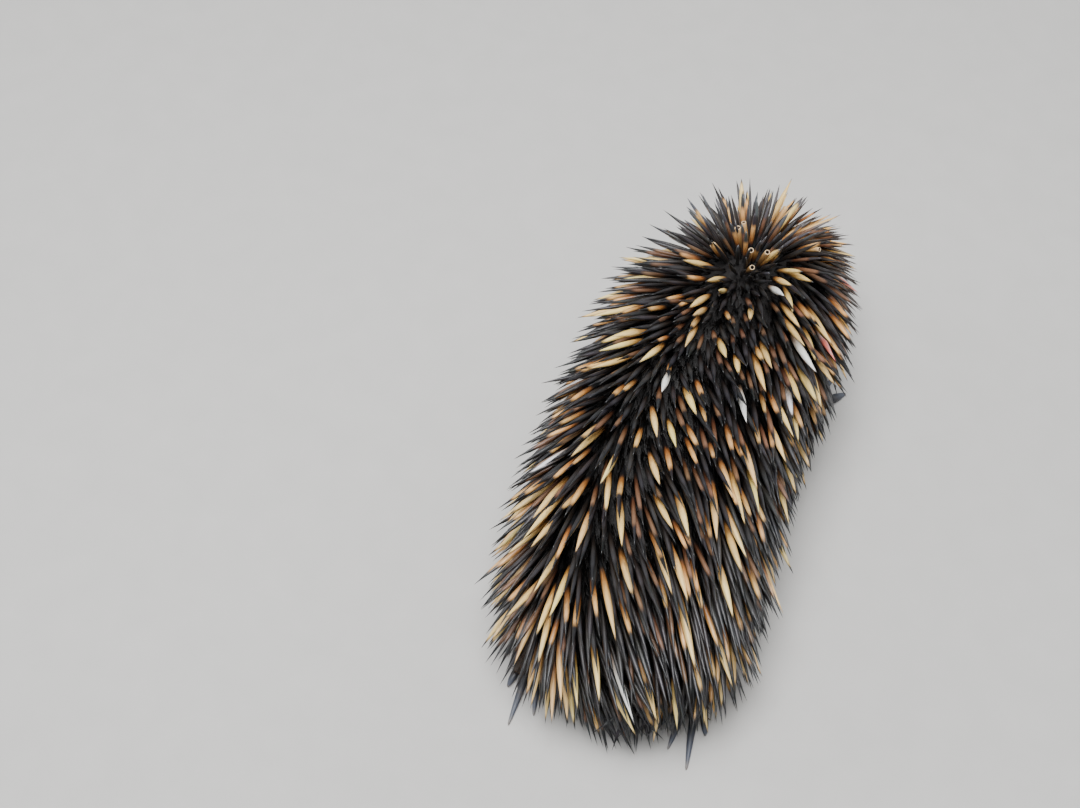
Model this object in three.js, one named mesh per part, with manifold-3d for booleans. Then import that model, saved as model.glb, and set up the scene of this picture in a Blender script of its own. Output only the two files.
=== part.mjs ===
// A life-size short-beaked echidna, hunched over its forefeet with its beak in the ground.
// Millimetres, +Z up. The animal faces -Y, and its own left side is +X.
import * as THREE from "three";
import { mergeVertices } from "three/addons/utils/BufferGeometryUtils.js";
import Module from "manifold-3d";

const wasm = await Module();
wasm.setup();

// Driving sizes
const bodyLength = 406; // tail tip to beak tip, along the ground
const bodyWidth = 130; // skin to skin at the widest
const backHeight = 142; // highest skin above the floor
const bellyClearance = 7;
const sideBend = 12; // how far the middle of the back bows to the left
const bendCentre = 20; // where it bows furthest
const bendHalf = 128; // from there to where the bow ends, each way
const headYaw = 0.27; // sideways step of the head for each step forward
const cutGap = 0.4; // between neighbouring sub-parts
const skinGap = 0.35; // between a limb, eye, ear or spine and what it passes
const rootDepth = 7; // how far a spine is sunk in the skin
const lowestTip = 4; // above the floor
const seed = 20417;

const up = new THREE.Vector3(0, 0, 1);
const halfWidth = bodyWidth / 2;
const midHeight = (backHeight + bellyClearance) / 2;
const halfHeight = (backHeight - bellyClearance) / 2;

// The body along its length, from tail tip to beak tip. Each row: y, height of the centre line, half
// width, height above the centre line and depth below it, the last four as shares of the body's own.
const bodyRows = [
  { name: "tailTip", y: 184, z: 0.26, wide: 0.05, above: 0.05, below: 0.05 },
  { name: "tail", y: 178, z: 0.31, wide: 0.22, above: 0.18, below: 0.15 },
  { name: "tailBase", y: 165, z: 0.43, wide: 0.58, above: 0.42, below: 0.35 },
  { name: "rump", y: 136, z: 0.66, wide: 0.91, above: 0.75, below: 0.62 },
  { name: "hips", y: 90, z: 0.86, wide: 0.99, above: 0.94, below: 0.82 },
  { name: "back", y: 34, z: 0.97, wide: 1.0, above: 1.04, below: 0.95 },
  { name: "chest", y: -22, z: 1.0, wide: 0.98, above: 1.02, below: 0.97 },
  { name: "shoulders", y: -68, z: 1.01, wide: 0.96, above: 0.93, below: 0.93 },
  { name: "neckBase", y: -104, z: 1.01, wide: 0.86, above: 0.8, below: 0.78 },
  { name: "neck", y: -131, z: 0.93, wide: 0.71, above: 0.65, below: 0.6 },
  { name: "nape", y: -152, z: 0.82, wide: 0.55, above: 0.51, below: 0.43 },
  { name: "brow", y: -169, z: 0.67, wide: 0.38, above: 0.36, below: 0.3 },
  { name: "face", y: -183, z: 0.525, wide: 0.25, above: 0.23, below: 0.19 },
  { name: "beakBase", y: -192, z: 0.43, wide: 0.155, above: 0.15, below: 0.135 },
  { name: "beak", y: -207, z: 0.265, wide: 0.113, above: 0.107, below: 0.098 },
  { name: "beakTip", y: -219, z: 0.135, wide: 0.083, above: 0.074, below: 0.072 },
  { name: "beakEnd", y: -222, z: 0.102, wide: 0.046, above: 0.041, below: 0.041 },
];
const row = Object.fromEntries(bodyRows.map((r, i) => [r.name, i]));
const rowSpan = bodyRows[0].y - bodyRows[bodyRows.length - 1].y;
const bellyPower = 0.8; // under 1 squares the belly's section

// Small maths
const clamp = (v, low, high) => Math.min(high, Math.max(low, v));
const mix = (a, b, t) => a + (b - a) * t;
const smooth = (t) => {
  const c = clamp(t, 0, 1);
  return c * c * (3 - 2 * c);
};
const radians = THREE.MathUtils.degToRad;

function randomFrom(start) {
  let state = start >>> 0;
  return () => {
    state = (state + 0x6d2b79f5) >>> 0;
    let t = state;
    t = Math.imul(t ^ (t >>> 15), t | 1);
    t ^= t + Math.imul(t ^ (t >>> 7), t | 61);
    return ((t ^ (t >>> 14)) >>> 0) / 4294967296;
  };
}

// One column of bodyRows at a fractional row, on a smooth curve through its values.
function column(name, at) {
  const last = bodyRows.length - 1;
  const i = clamp(Math.floor(at), 0, last - 1);
  const t = at - i;
  const value = (k) => bodyRows[clamp(k, 0, last)][name];
  const [a, b, c, d] = [value(i - 1), value(i), value(i + 1), value(i + 2)];
  return b + (t * (c - a + t * (2 * a - 5 * b + 4 * c - d + t * (3 * (b - c) + d - a)))) / 2;
}

// The centre line bows to the left over the back, and the head turns to the right.
function sideways(y) {
  const reach = (y - bendCentre) / bendHalf;
  if (reach < -1) return headYaw * (reach + 1) * bendHalf;
  return sideBend * (1 - reach * reach);
}

function centre(at) {
  const y = (column("y", at) * bodyLength) / rowSpan;
  return new THREE.Vector3(sideways(y), y, column("z", at) * midHeight);
}

// The cross-section's own axes at a row: forward along the centre line, left and up.
function frameAt(at) {
  const step = 0.02;
  const last = bodyRows.length - 1;
  const forward = centre(Math.min(at + step, last)).sub(centre(Math.max(at - step, 0))).normalize();
  const left = new THREE.Vector3().crossVectors(up, forward).normalize();
  return { centre: centre(at), forward, left, up: new THREE.Vector3().crossVectors(forward, left) };
}

// A point of the skin: angle 0 is the left side, 90 degrees the back, 180 the right side.
function skinPoint(at, angle, grow = 0) {
  const f = frameAt(at);
  const c = Math.cos(angle);
  const s = Math.sin(angle);
  const power = s < 0 ? bellyPower : 1;
  const across = Math.sign(c) * Math.abs(c) ** power * (column("wide", at) * halfWidth + grow);
  const tall = column(s < 0 ? "below" : "above", at) * halfHeight + grow;
  return f.centre
    .addScaledVector(f.left, across)
    .addScaledVector(f.up, Math.sign(s) * Math.abs(s) ** power * tall);
}

function skinNormal(at, angle) {
  const step = 0.03;
  const along = skinPoint(at + step, angle).sub(skinPoint(at - step, angle));
  const around = skinPoint(at, angle + step).sub(skinPoint(at, angle - step));
  return around.cross(along).normalize();
}

// A closed surface through rings of points, with a flat end at each side.
function loft(rings) {
  const count = rings[0].length;
  const points = rings.flat();
  const faces = [];
  rings.slice(1).forEach((_, i) => {
    for (let j = 0; j < count; j++) {
      const [a, b] = [i * count + j, i * count + ((j + 1) % count)];
      faces.push(a, b, a + count, b, b + count, a + count);
    }
  });
  [0, rings.length - 1].forEach((end) => {
    const middle = points.length;
    points.push(
      rings[end].reduce((sum, p) => sum.add(p), new THREE.Vector3()).divideScalar(count),
    );
    for (let j = 0; j < count; j++) {
      const [a, b] = [end * count + j, end * count + ((j + 1) % count)];
      if (end) faces.push(a, b, middle);
      else faces.push(b, a, middle);
    }
  });
  return new THREE.BufferGeometry().setFromPoints(points).setIndex(faces);
}

// A solid from a closed geometry. A list of corners read backwards turns every face over, so this
// takes a geometry whichever way its faces point.
function solid(geometry) {
  const bare = geometry.clone().deleteAttribute("normal").deleteAttribute("uv");
  const merged = mergeVertices(bare, 1e-4);
  const corners = merged.index.array;
  const kept = [];
  for (let i = 0; i < corners.length; i += 3) {
    const [a, b, c] = corners.slice(i, i + 3);
    if (a !== b && b !== c && c !== a) kept.push(a, b, c);
  }
  const make = (triVerts) =>
    new wasm.Manifold(
      new wasm.Mesh({
        numProp: 3,
        vertProperties: new Float32Array(merged.attributes.position.array),
        triVerts: new Uint32Array(triVerts),
      }),
    );
  const made = make(kept);
  return made.volume() > 0 ? made : make(kept.reverse());
}

const join = (...solids) => solids.flat().reduce((a, b) => a.add(b));

// The largest closed surface of a solid, as a geometry.
function geometryOf(shape) {
  const [largest] = shape.decompose().sort((a, b) => b.volume() - a.volume());
  const mesh = largest.getMesh();
  const positions = new Float32Array(mesh.numVert * 3);
  for (let i = 0; i < mesh.numVert; i++) {
    positions.set(mesh.vertProperties.subarray(i * mesh.numProp, i * mesh.numProp + 3), i * 3);
  }
  return new THREE.BufferGeometry()
    .setAttribute("position", new THREE.BufferAttribute(positions, 3))
    .setIndex(new THREE.BufferAttribute(new Uint32Array(mesh.triVerts), 1));
}

// A length of the body between two rows, with flat ends square to the centre line.
function bodyLengthSolid(from, to, rings, sides, grow = 0) {
  const made = [];
  for (let i = 0; i <= rings; i++) {
    const at = mix(from, to, i / rings);
    const ring = [];
    for (let j = 0; j < sides; j++) ring.push(skinPoint(at, (j / sides) * 2 * Math.PI, grow));
    made.push(ring);
  }
  if (from > 0) made[0].forEach((p) => p.addScaledVector(frameAt(from).forward, cutGap / 2));
  if (to < bodyRows.length - 1) {
    made[rings].forEach((p) => p.addScaledVector(frameAt(to).forward, -cutGap / 2));
  }
  return solid(loft(made));
}

// A tube of elliptic section along a curve, wide along across. sizes gives its half width and half
// height at 0 to 1.
function tube(curve, rings, sides, sizes, across) {
  const made = [];
  for (let i = 0; i <= rings; i++) {
    const t = i / rings;
    const middle = curve.getPoint(t);
    const top = new THREE.Vector3().crossVectors(curve.getTangent(t), across).normalize();
    const [wide, tall] = sizes(t);
    const ring = [];
    for (let j = 0; j < sides; j++) {
      const angle = (j / sides) * 2 * Math.PI;
      ring.push(
        middle
          .clone()
          .addScaledVector(across, Math.cos(angle) * wide)
          .addScaledVector(top, Math.sin(angle) * tall),
      );
    }
    made.push(ring);
  }
  return solid(loft(made));
}

function ball(middle, radii, sides = 12, turn = null) {
  const geometry = new THREE.SphereGeometry(1, sides, Math.round(sides * 0.7));
  geometry.scale(...radii);
  if (turn) geometry.applyMatrix4(turn);
  geometry.translate(...middle);
  return solid(geometry);
}

// Where the body is parted
const cuts = {
  tail: row.tailBase + 0.15,
  torso: row.neckBase - 0.1,
  neck: row.nape - 0.35,
  head: row.face + 0.55,
};
const lengths = {
  tail: { from: 0, to: cuts.tail, rings: 6, sides: 20 },
  torso: { from: cuts.tail, to: cuts.torso, rings: 15, sides: 30 },
  neck: { from: cuts.torso, to: cuts.neck, rings: 4, sides: 28 },
  head: { from: cuts.neck, to: cuts.head, rings: 9, sides: 24 },
  beak: { from: cuts.head, to: bodyRows.length - 1, rings: 10, sides: 16 },
};

function fleshOf(name) {
  const part = lengths[name];
  return bodyLengthSolid(part.from, part.to, part.rings, part.sides);
}

// Spines
const spineRows = { first: 0.7, last: row.brow - 0.15 };
const lowest = { flank: radians(-32), neck: radians(8), crown: radians(38) }; // first spine of a row

// Where the spines stand almost straight out, the way that they are combed far from there, and the way
// that those on its right are swept back
const whorl = skinPoint(8.0, radians(80));
const combed = { way: new THREE.Vector3(-1.25, 0.05, -0.6), at: 285 };
const swept = { way: new THREE.Vector3(0.08, 0.9, 0.55), at: 24, wide: 26 };
const lean = { least: radians(8.5), most: radians(56), reach: 41 };

function lowestAngle(at) {
  const toNeck = smooth(at - row.shoulders + 0.2);
  const toCrown = smooth(at - row.neck - 0.2);
  return mix(mix(lowest.flank, lowest.neck, toNeck), lowest.crown, toCrown);
}

// Length out of the skin, thickness and spacing of the spines at a row
function spineSizes(at) {
  const toTail = smooth((row.rump + 0.4 - at) / 1.6);
  const toRump = smooth((row.chest - at) / 2.6);
  const toHead = smooth((at - row.neckBase) / 2.6);
  return {
    length: mix(mix(mix(42, 52, toRump), 38, toTail), 24, toHead),
    radius: mix(mix(2.3, 1.8, toTail), 1.5, toHead),
    spacing: mix(mix(10.5, 8.6, toTail), 7.8, toHead),
  };
}

// Spines lean away from the whorl, further over the further they are from it.
function spineDirection(point, normal) {
  const flow = point.clone().sub(whorl);
  const distance = flow.length();
  const toRight = smooth(-flow.x / swept.wide);
  flow.normalize().addScaledVector(combed.way, smooth(distance / combed.at));
  flow.addScaledVector(swept.way, smooth(distance / swept.at) * toRight);
  flow.addScaledVector(normal, -flow.dot(normal)).normalize();
  const over = mix(lean.least, lean.most, smooth(distance / lean.reach));
  return normal.clone().multiplyScalar(Math.cos(over)).addScaledVector(flow, Math.sin(over));
}

// The least distance between two straight lengths.
function lengthsApart(a, b) {
  const u = a.tip.clone().sub(a.foot);
  const v = b.tip.clone().sub(b.foot);
  const w = a.foot.clone().sub(b.foot);
  const [uu, uv, vv, uw, vw] = [u.dot(u), u.dot(v), v.dot(v), u.dot(w), v.dot(w)];
  const flat = uu * vv - uv * uv;
  let s = flat > 1e-6 ? clamp((uv * vw - vv * uw) / flat, 0, 1) : 0;
  const t = clamp((uv * s + vw) / vv, 0, 1);
  s = clamp((uv * t - uw) / uu, 0, 1);
  return w.addScaledVector(u, s).addScaledVector(v, -t).length();
}

// Whether a point lies between the flat ends of its length of the body.
function between(part, point, margin) {
  const past = (at) => {
    const f = frameAt(at);
    return point.clone().sub(f.centre).dot(f.forward);
  };
  const clearBehind = part.from === 0 || past(part.from) > margin;
  return clearBehind && past(part.to) < -margin;
}

// One spine: three-sided, tapering from the root to its point.
function spineSolid(spine) {
  const length = spine.foot.distanceTo(spine.tip);
  const geometry = new THREE.LatheGeometry(
    [new THREE.Vector2(0, 0), new THREE.Vector2(spine.radius, 0), new THREE.Vector2(0, length)],
    3,
  );
  geometry.applyQuaternion(
    new THREE.Quaternion().setFromUnitVectors(new THREE.Vector3(0, 1, 0), spine.direction),
  );
  geometry.translate(...spine.foot);
  return solid(geometry);
}

const spinyParts = ["tail", "torso", "neck", "head"];

// Spines at random places, each kept if it clears its neighbours and everything in obstacles.
function growSpines(obstacles) {
  const random = randomFrom(seed);
  const tries = 15000;
  const spines = [];
  for (let i = 0; i < tries; i++) {
    const at = mix(spineRows.first, spineRows.last, random());
    const angle = mix(lowest.flank, Math.PI - lowest.flank, random());
    const [longer, thicker] = [mix(0.86, 1.12, random()), mix(0.85, 1.15, random())];
    const low = lowestAngle(at);
    if (angle < low || angle > Math.PI - low) continue;
    const name = spinyParts.find((n) => at > lengths[n].from && at < lengths[n].to);
    const skin = skinPoint(at, angle);
    const sizes = spineSizes(at);
    if (spines.some((s) => s.skin.distanceTo(skin) < sizes.spacing)) continue;
    const radius = sizes.radius * thicker;
    const direction = spineDirection(skin, skinNormal(at, angle));
    const foot = skin.clone().addScaledVector(direction, -rootDepth);
    const tip = skin.clone().addScaledVector(direction, sizes.length * longer);
    if (tip.z < lowestTip) continue;
    if (!between(lengths[name], foot, radius + skinGap)) continue;
    if (!between(lengths[name], skin, radius + skinGap)) continue;
    const spine = { name, skin, foot, tip, radius, direction };
    const reach = sizes.length * 2.5;
    const near = spines.filter((s) => s.skin.distanceTo(skin) < reach);
    if (near.some((s) => lengthsApart(s, spine) < s.radius + radius + skinGap)) continue;
    spine.solid = spineSolid(spine);
    const hits = (other) => spine.solid.minGap(other, skinGap * 2) < skinGap;
    if (obstacles.some((o) => o.name !== name && hits(o.solid))) continue;
    spines.push(spine);
  }
  return spines;
}

// Head: eyes in their sockets with lids round them, the hollow of each ear, mouth and nostrils
const eyeSize = { radius: 4.3, row: row.brow + 0.5, angle: radians(24), sunk: 1.8 };
const lidSize = { thick: 1.25, long: 1.15, tall: 0.82 };
const earSize = { row: row.nape + 0.3, angle: radians(12), long: 3.6, tall: 10.5, deep: 4.6 };
const earHollow = { wall: 1.1, end: 1.8, out: 2.5 };
const mouth = { wide: 18, long: 15, thick: 1.1, below: 1.6 };
const nostril = { row: row.beakTip - 0.12, angle: radians(62), wide: 1.5, long: 4.2, deep: 2.2 };

function seat(at, angle) {
  const point = skinPoint(at, angle);
  const out = skinNormal(at, angle);
  const f = frameAt(at);
  const over = new THREE.Vector3().crossVectors(out, f.forward).normalize();
  const ahead = new THREE.Vector3().crossVectors(over, out).normalize();
  return { point, out, over, ahead, turn: new THREE.Matrix4().makeBasis(ahead, over, out) };
}

const mirrored = (angle, side) => (side > 0 ? angle : Math.PI - angle);

function lids(side) {
  const s = seat(eyeSize.row, mirrored(eyeSize.angle, side));
  const geometry = new THREE.TorusGeometry(eyeSize.radius, lidSize.thick, 6, 14);
  geometry.scale(lidSize.long, lidSize.tall, 1);
  geometry.applyMatrix4(s.turn);
  geometry.translate(...s.point);
  return solid(geometry);
}

function eyeball(side, grow = 0) {
  const s = seat(eyeSize.row, mirrored(eyeSize.angle, side));
  const size = eyeSize.radius + grow;
  return ball(s.point.addScaledVector(s.out, -eyeSize.sunk), [size, size, size], 14, s.turn);
}

function ear(side) {
  const { wall, end, out } = earHollow;
  const s = seat(earSize.row, mirrored(earSize.angle, side));
  const cup = ball(s.point, [earSize.long, earSize.tall, earSize.deep], 12, s.turn);
  const inner = [earSize.long - wall, earSize.tall - end, earSize.deep];
  const scoop = ball(s.point.clone().addScaledVector(s.out, out), inner, 10, s.turn);
  return cup.subtract(scoop).subtract(bodyLengthSolid(row.neck, row.face, 26, 48, skinGap));
}

function headSolid(flesh) {
  const sockets = [1, -1].map((side) => eyeball(side, skinGap));
  return join(flesh, [1, -1].map(lids)).subtract(join(sockets));
}

function beakSolid() {
  const tip = frameAt(row.beakTip);
  const turn = new THREE.Matrix4().makeBasis(tip.left, tip.forward, tip.up);
  const lips = tip.centre.clone().addScaledVector(tip.up, -mouth.below);
  const slit = ball(lips, [mouth.wide / 2, mouth.long / 2, mouth.thick / 2], 14, turn);
  const holes = [1, -1].map((side) => {
    const middle = skinPoint(nostril.row, mirrored(nostril.angle, side));
    return ball(middle, [nostril.wide / 2, nostril.long / 2, nostril.deep / 2], 8, turn);
  });
  return fleshOf("beak").subtract(slit).subtract(join(holes));
}

// Legs: stout and sprawling, each with a flat sole on the floor and five toes
const wholeBody = bodyLengthSolid(0, bodyRows.length - 1, 60, 40, skinGap);
const belowFloor = solid(new THREE.BoxGeometry(900, 900, 60).translate(0, 0, -30));

// toesPoint is 1 for forward and -1 for backward, and firstToe is -1 where the first toe is the
// innermost and 1 where it is the outermost, as on the hind feet, which are turned right round.
const limbs = {
  fore: {
    at: row.shoulders + 0.05,
    toesPoint: 1,
    firstToe: -1,
    stance: 0.84,
    reach: 15,
    thick: 24,
    pad: [19, 19, 12],
    splay: 0.32,
    turn: -0.05,
    toeLength: 8,
    toeRadius: 4.6,
    claws: [15, 20, 22, 20, 15],
    clawWidth: 3.5,
  },
  hind: {
    at: row.hips - 0.35,
    toesPoint: -1,
    firstToe: 1,
    stance: 0.82,
    reach: 40,
    thick: 26,
    pad: [17, 23, 12],
    splay: 0.24,
    turn: -0.16,
    toeLength: 7,
    toeRadius: 3.9,
    claws: [9, 34, 25, 17, 12],
    clawWidth: 2.6,
  },
};

// Places of one leg, worked out from the body where it grows
function legPlan(kind, side) {
  const limb = limbs[kind];
  const f = frameAt(limb.at);
  const out = f.left.clone().multiplyScalar(side);
  const along = f.forward.clone().setZ(0).normalize().multiplyScalar(limb.toesPoint);
  const wide = column("wide", limb.at) * halfWidth;
  const place = (outward, onward, height) =>
    f.centre
      .clone()
      .addScaledVector(out, outward)
      .addScaledVector(along, onward)
      .setZ(height);
  const sole = place(wide * limb.stance, limb.reach, limb.pad[2] * 0.6);
  const heading = along.clone().addScaledVector(out, limb.turn).normalize();
  return {
    limb,
    out,
    heading,
    sole,
    path: new THREE.QuadraticBezierCurve3(
      place(wide * 0.5, -4, midHeight * 0.62),
      place(wide * 1.0, -2, midHeight * 0.5),
      sole.clone().setZ(limb.pad[2]),
    ),
  };
}

// Toe and claw share one line.
function toeLine(plan, i) {
  const { limb, heading, out, sole } = plan;
  const spread = (i - 2) * limb.splay * -limb.firstToe;
  const across = out.clone().addScaledVector(heading, -out.dot(heading)).normalize();
  const way = heading.clone().addScaledVector(across, spread).normalize();
  const from = sole
    .clone()
    .addScaledVector(heading, limb.pad[1] * 0.64)
    .addScaledVector(across, spread * limb.pad[0] * 1.25);
  const toe = from.clone().addScaledVector(way, limb.toeLength + 4);
  return { way, from, toe, across: new THREE.Vector3().crossVectors(up, way).normalize() };
}

const toeRise = 1.2; // a toe's root above its end

function toeSolid(plan, i) {
  const { toeRadius } = plan.limb;
  const line = toeLine(plan, i);
  const start = line.from.clone().setZ(toeRadius + toeRise);
  const end = line.toe.clone().setZ(toeRadius);
  const size = (t) => [toeRadius * mix(1, 0.86, t), toeRadius * mix(1.05, 0.84, t)];
  return tube(new THREE.LineCurve3(start, end), 2, 8, size, line.across);
}

function clawSolid(plan, i) {
  const { toeRadius, claws, clawWidth } = plan.limb;
  const line = toeLine(plan, i);
  const base = line.toe.clone().setZ(toeRadius);
  const way = base.clone().sub(line.from.clone().setZ(toeRadius + toeRise)).normalize();
  const start = base.addScaledVector(way, cutGap);
  const bend = start.clone().addScaledVector(way, claws[i] * 0.55);
  const point = line.toe.clone().addScaledVector(line.way, claws[i]).setZ(1.3);
  const taper = (t) => [clawWidth * mix(1, 0.22, t ** 1.6), clawWidth * mix(0.78, 0.24, t)];
  return tube(new THREE.QuadraticBezierCurve3(start, bend, point), 5, 8, taper, line.across);
}

function legSolid(plan) {
  const { limb, sole, heading, path } = plan;
  const thick = (t) => [limb.thick * mix(1.15, 0.8, t), limb.thick * mix(1.0, 0.72, t)];
  const across = new THREE.Vector3().crossVectors(up, heading).normalize();
  const turn = new THREE.Matrix4().makeBasis(across, heading, up);
  const pad = ball(sole, limb.pad, 12, turn);
  const toes = limb.claws.map((_, i) => toeSolid(plan, i));
  return join(tube(path, 6, 14, thick, heading), pad, toes).subtract(wholeBody).subtract(belowFloor);
}

// Colours
const finish = (color, roughness) => new THREE.MeshStandardMaterial({ color, roughness, metalness: 0 });
const finishes = {
  spines: finish(0x2a2522, 0.45),
  fur: finish(0x3a2a20, 0.9),
  beak: finish(0x2c2a2b, 0.55),
  ear: finish(0x4a382e, 0.8),
  eye: finish(0x0a0808, 0.1),
  claw: finish(0x4b4c52, 0.4),
};

const echidna = new THREE.Group();

function addPart(name, shape, material) {
  const mesh = new THREE.Mesh(geometryOf(shape), material);
  mesh.name = name;
  echidna.add(mesh);
}

const pairs = { left: 1, right: -1 };
const others = [{ name: "beak", solid: beakSolid(), finish: finishes.beak }];
for (const [sideName, side] of Object.entries(pairs)) {
  others.push({ name: `eye_${sideName}`, solid: eyeball(side), finish: finishes.eye });
  others.push({ name: `ear_${sideName}`, solid: ear(side), finish: finishes.ear });
  for (const kind of ["fore", "hind"]) {
    const plan = legPlan(kind, side);
    others.push({ name: `${kind}_leg_${sideName}`, solid: legSolid(plan), finish: finishes.fur });
    plan.limb.claws.forEach((_, i) => {
      const name = `${kind}_claw_${sideName}_${i + 1}`;
      others.push({ name, solid: clawSolid(plan, i), finish: finishes.claw });
    });
  }
}

const flesh = spinyParts.map((name) => {
  const bare = fleshOf(name);
  return { name, solid: name === "head" ? headSolid(bare) : bare };
});
const spines = growSpines([...flesh, ...others]);
for (const { name, solid: bare } of flesh) {
  const own = spines.filter((s) => s.name === name).map((s) => s.solid);
  addPart(name, join(bare, own), name === "head" ? finishes.fur : finishes.spines);
}
others.forEach((other) => addPart(other.name, other.solid, other.finish));

// The origin is on the floor, under the middle of the whole animal.
const reach = new THREE.Box3().setFromObject(echidna);
const middle = reach.getCenter(new THREE.Vector3());
echidna.position.set(-middle.x, -middle.y, -reach.min.z);

const model = new THREE.Group();
model.add(echidna);

export default model;
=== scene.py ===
import math

import bmesh
import bpy
import numpy as np
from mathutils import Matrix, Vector


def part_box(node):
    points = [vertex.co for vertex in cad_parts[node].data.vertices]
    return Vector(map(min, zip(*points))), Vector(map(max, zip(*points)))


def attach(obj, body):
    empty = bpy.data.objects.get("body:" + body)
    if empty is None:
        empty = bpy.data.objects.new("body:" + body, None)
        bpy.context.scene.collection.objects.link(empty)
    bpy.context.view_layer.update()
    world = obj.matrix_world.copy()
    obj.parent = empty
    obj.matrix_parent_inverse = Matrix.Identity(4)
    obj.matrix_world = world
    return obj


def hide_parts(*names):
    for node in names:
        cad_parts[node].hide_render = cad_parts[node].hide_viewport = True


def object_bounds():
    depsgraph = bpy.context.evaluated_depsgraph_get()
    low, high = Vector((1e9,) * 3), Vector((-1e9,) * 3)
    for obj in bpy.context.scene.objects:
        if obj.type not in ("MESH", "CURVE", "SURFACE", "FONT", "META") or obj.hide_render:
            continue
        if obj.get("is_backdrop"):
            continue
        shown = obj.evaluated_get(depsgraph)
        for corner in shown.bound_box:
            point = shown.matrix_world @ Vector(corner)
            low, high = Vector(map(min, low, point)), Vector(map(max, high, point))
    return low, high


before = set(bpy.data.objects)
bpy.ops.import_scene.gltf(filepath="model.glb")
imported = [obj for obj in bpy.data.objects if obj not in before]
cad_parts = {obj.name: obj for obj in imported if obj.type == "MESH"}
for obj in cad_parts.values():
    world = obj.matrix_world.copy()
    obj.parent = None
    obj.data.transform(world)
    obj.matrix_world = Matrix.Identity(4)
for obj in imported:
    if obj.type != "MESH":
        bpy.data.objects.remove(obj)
cadLow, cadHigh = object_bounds()
print("frame loaded:", len(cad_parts), "solids")

# Camera: the photo's view, steeply down from behind the animal's right side
viewpoint = {
    "azimuth": 202,  # degrees round the animal, 0 looking along +Y
    "elevation": 58,
    "distance": 1.0,
    "aim": (0.0992, 0.0297, 0.078),
    "lens": 50,
    "sensor": 36,
}


def backVector(azimuth, elevation):
    a, e = math.radians(azimuth), math.radians(elevation)
    return Vector((math.sin(a) * math.cos(e), -math.cos(a) * math.cos(e), math.sin(e)))


def addObject(name, data):
    added = bpy.data.objects.new(name, data)
    bpy.context.scene.collection.objects.link(added)
    return added


# A camera or lamp, looking along way
def pointedObject(name, data, place, way):
    added = addObject(name, data)
    added.location = place
    added.rotation_mode = "QUATERNION"
    added.rotation_quaternion = way.to_track_quat("-Z", "Y")
    return added


def makeCamera():
    data = bpy.data.cameras.new("photoView")
    data.lens = viewpoint["lens"]
    data.sensor_width = viewpoint["sensor"]
    data.clip_start = 0.01
    back = backVector(viewpoint["azimuth"], viewpoint["elevation"])
    eye = Vector(viewpoint["aim"]) + back * viewpoint["distance"]
    bpy.context.scene.camera = pointedObject("photoView", data, eye, -back)


makeCamera()


# Small maths, on numbers and on whole arrays of points
def mix(a, b, t):
    return a + (b - a) * t


def smooth(t):
    t = np.clip(t, 0, 1)
    return t * t * (3 - 2 * t)


def unit(v):
    return v / np.maximum(np.linalg.norm(v, axis=-1, keepdims=True), 1e-12)


def dot(a, b):
    return np.sum(a * b, axis=-1, keepdims=True)


# The body along its length, as in the solids
bodySize = {
    "width": 0.130,  # skin to skin at the widest
    "backHeight": 0.142,  # highest skin above the floor
    "bellyClearance": 0.007,
    "sideBend": 0.012,  # how far the middle of the back bows to the left
    "bendCentre": 0.020,
    "bendHalf": 0.128,
    "headYaw": 0.27,  # sideways step of the head for each step forward
    "bellyPower": 0.8,  # under 1 squares the belly's section
}
# y, height of the centre line, half width, height above it and depth below it, the last four as
# shares of the body's own
bodyRows = {
    "tailTip": (0.184, 0.26, 0.05, 0.05, 0.05),
    "tail": (0.178, 0.31, 0.22, 0.18, 0.15),
    "tailBase": (0.165, 0.43, 0.58, 0.42, 0.35),
    "rump": (0.136, 0.66, 0.91, 0.75, 0.62),
    "hips": (0.090, 0.86, 0.99, 0.94, 0.82),
    "back": (0.034, 0.97, 1.0, 1.04, 0.95),
    "chest": (-0.022, 1.0, 0.98, 1.02, 0.97),
    "shoulders": (-0.068, 1.01, 0.96, 0.93, 0.93),
    "neckBase": (-0.104, 1.01, 0.86, 0.8, 0.78),
    "neck": (-0.131, 0.93, 0.71, 0.65, 0.6),
    "nape": (-0.152, 0.82, 0.55, 0.51, 0.43),
    "brow": (-0.169, 0.67, 0.38, 0.36, 0.3),
    "face": (-0.183, 0.525, 0.25, 0.23, 0.19),
    "beakBase": (-0.192, 0.43, 0.155, 0.15, 0.135),
    "beak": (-0.207, 0.265, 0.113, 0.107, 0.098),
    "beakTip": (-0.219, 0.135, 0.083, 0.074, 0.072),
    "beakEnd": (-0.222, 0.102, 0.046, 0.041, 0.041),
}
row = {name: i for i, name in enumerate(bodyRows)}
rowTable = np.array(list(bodyRows.values()))
lastRow = len(rowTable) - 1
halfWidth = bodySize["width"] / 2
midHeight = (bodySize["backHeight"] + bodySize["bellyClearance"]) / 2
halfHeight = (bodySize["backHeight"] - bodySize["bellyClearance"]) / 2
bodyShift = np.zeros(3)


# One column of bodyRows at fractional rows, on a smooth curve through its values
def column(k, at):
    at = np.asarray(at, float)
    i = np.clip(np.floor(at), 0, lastRow - 1).astype(int)
    t = at - i
    a, b, c, d = (rowTable[np.clip(i + o, 0, lastRow), k] for o in (-1, 0, 1, 2))
    return b + t * (c - a + t * (2 * a - 5 * b + 4 * c - d + t * (3 * (b - c) + d - a))) / 2


def sideways(y):
    reach = (y - bodySize["bendCentre"]) / bodySize["bendHalf"]
    bowed = bodySize["sideBend"] * (1 - reach * reach)
    return np.where(reach < -1, bodySize["headYaw"] * (reach + 1) * bodySize["bendHalf"], bowed)


def centreAt(at):
    y = column(0, at)
    return np.stack([sideways(y), y, column(1, at) * midHeight], -1) + bodyShift


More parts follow.
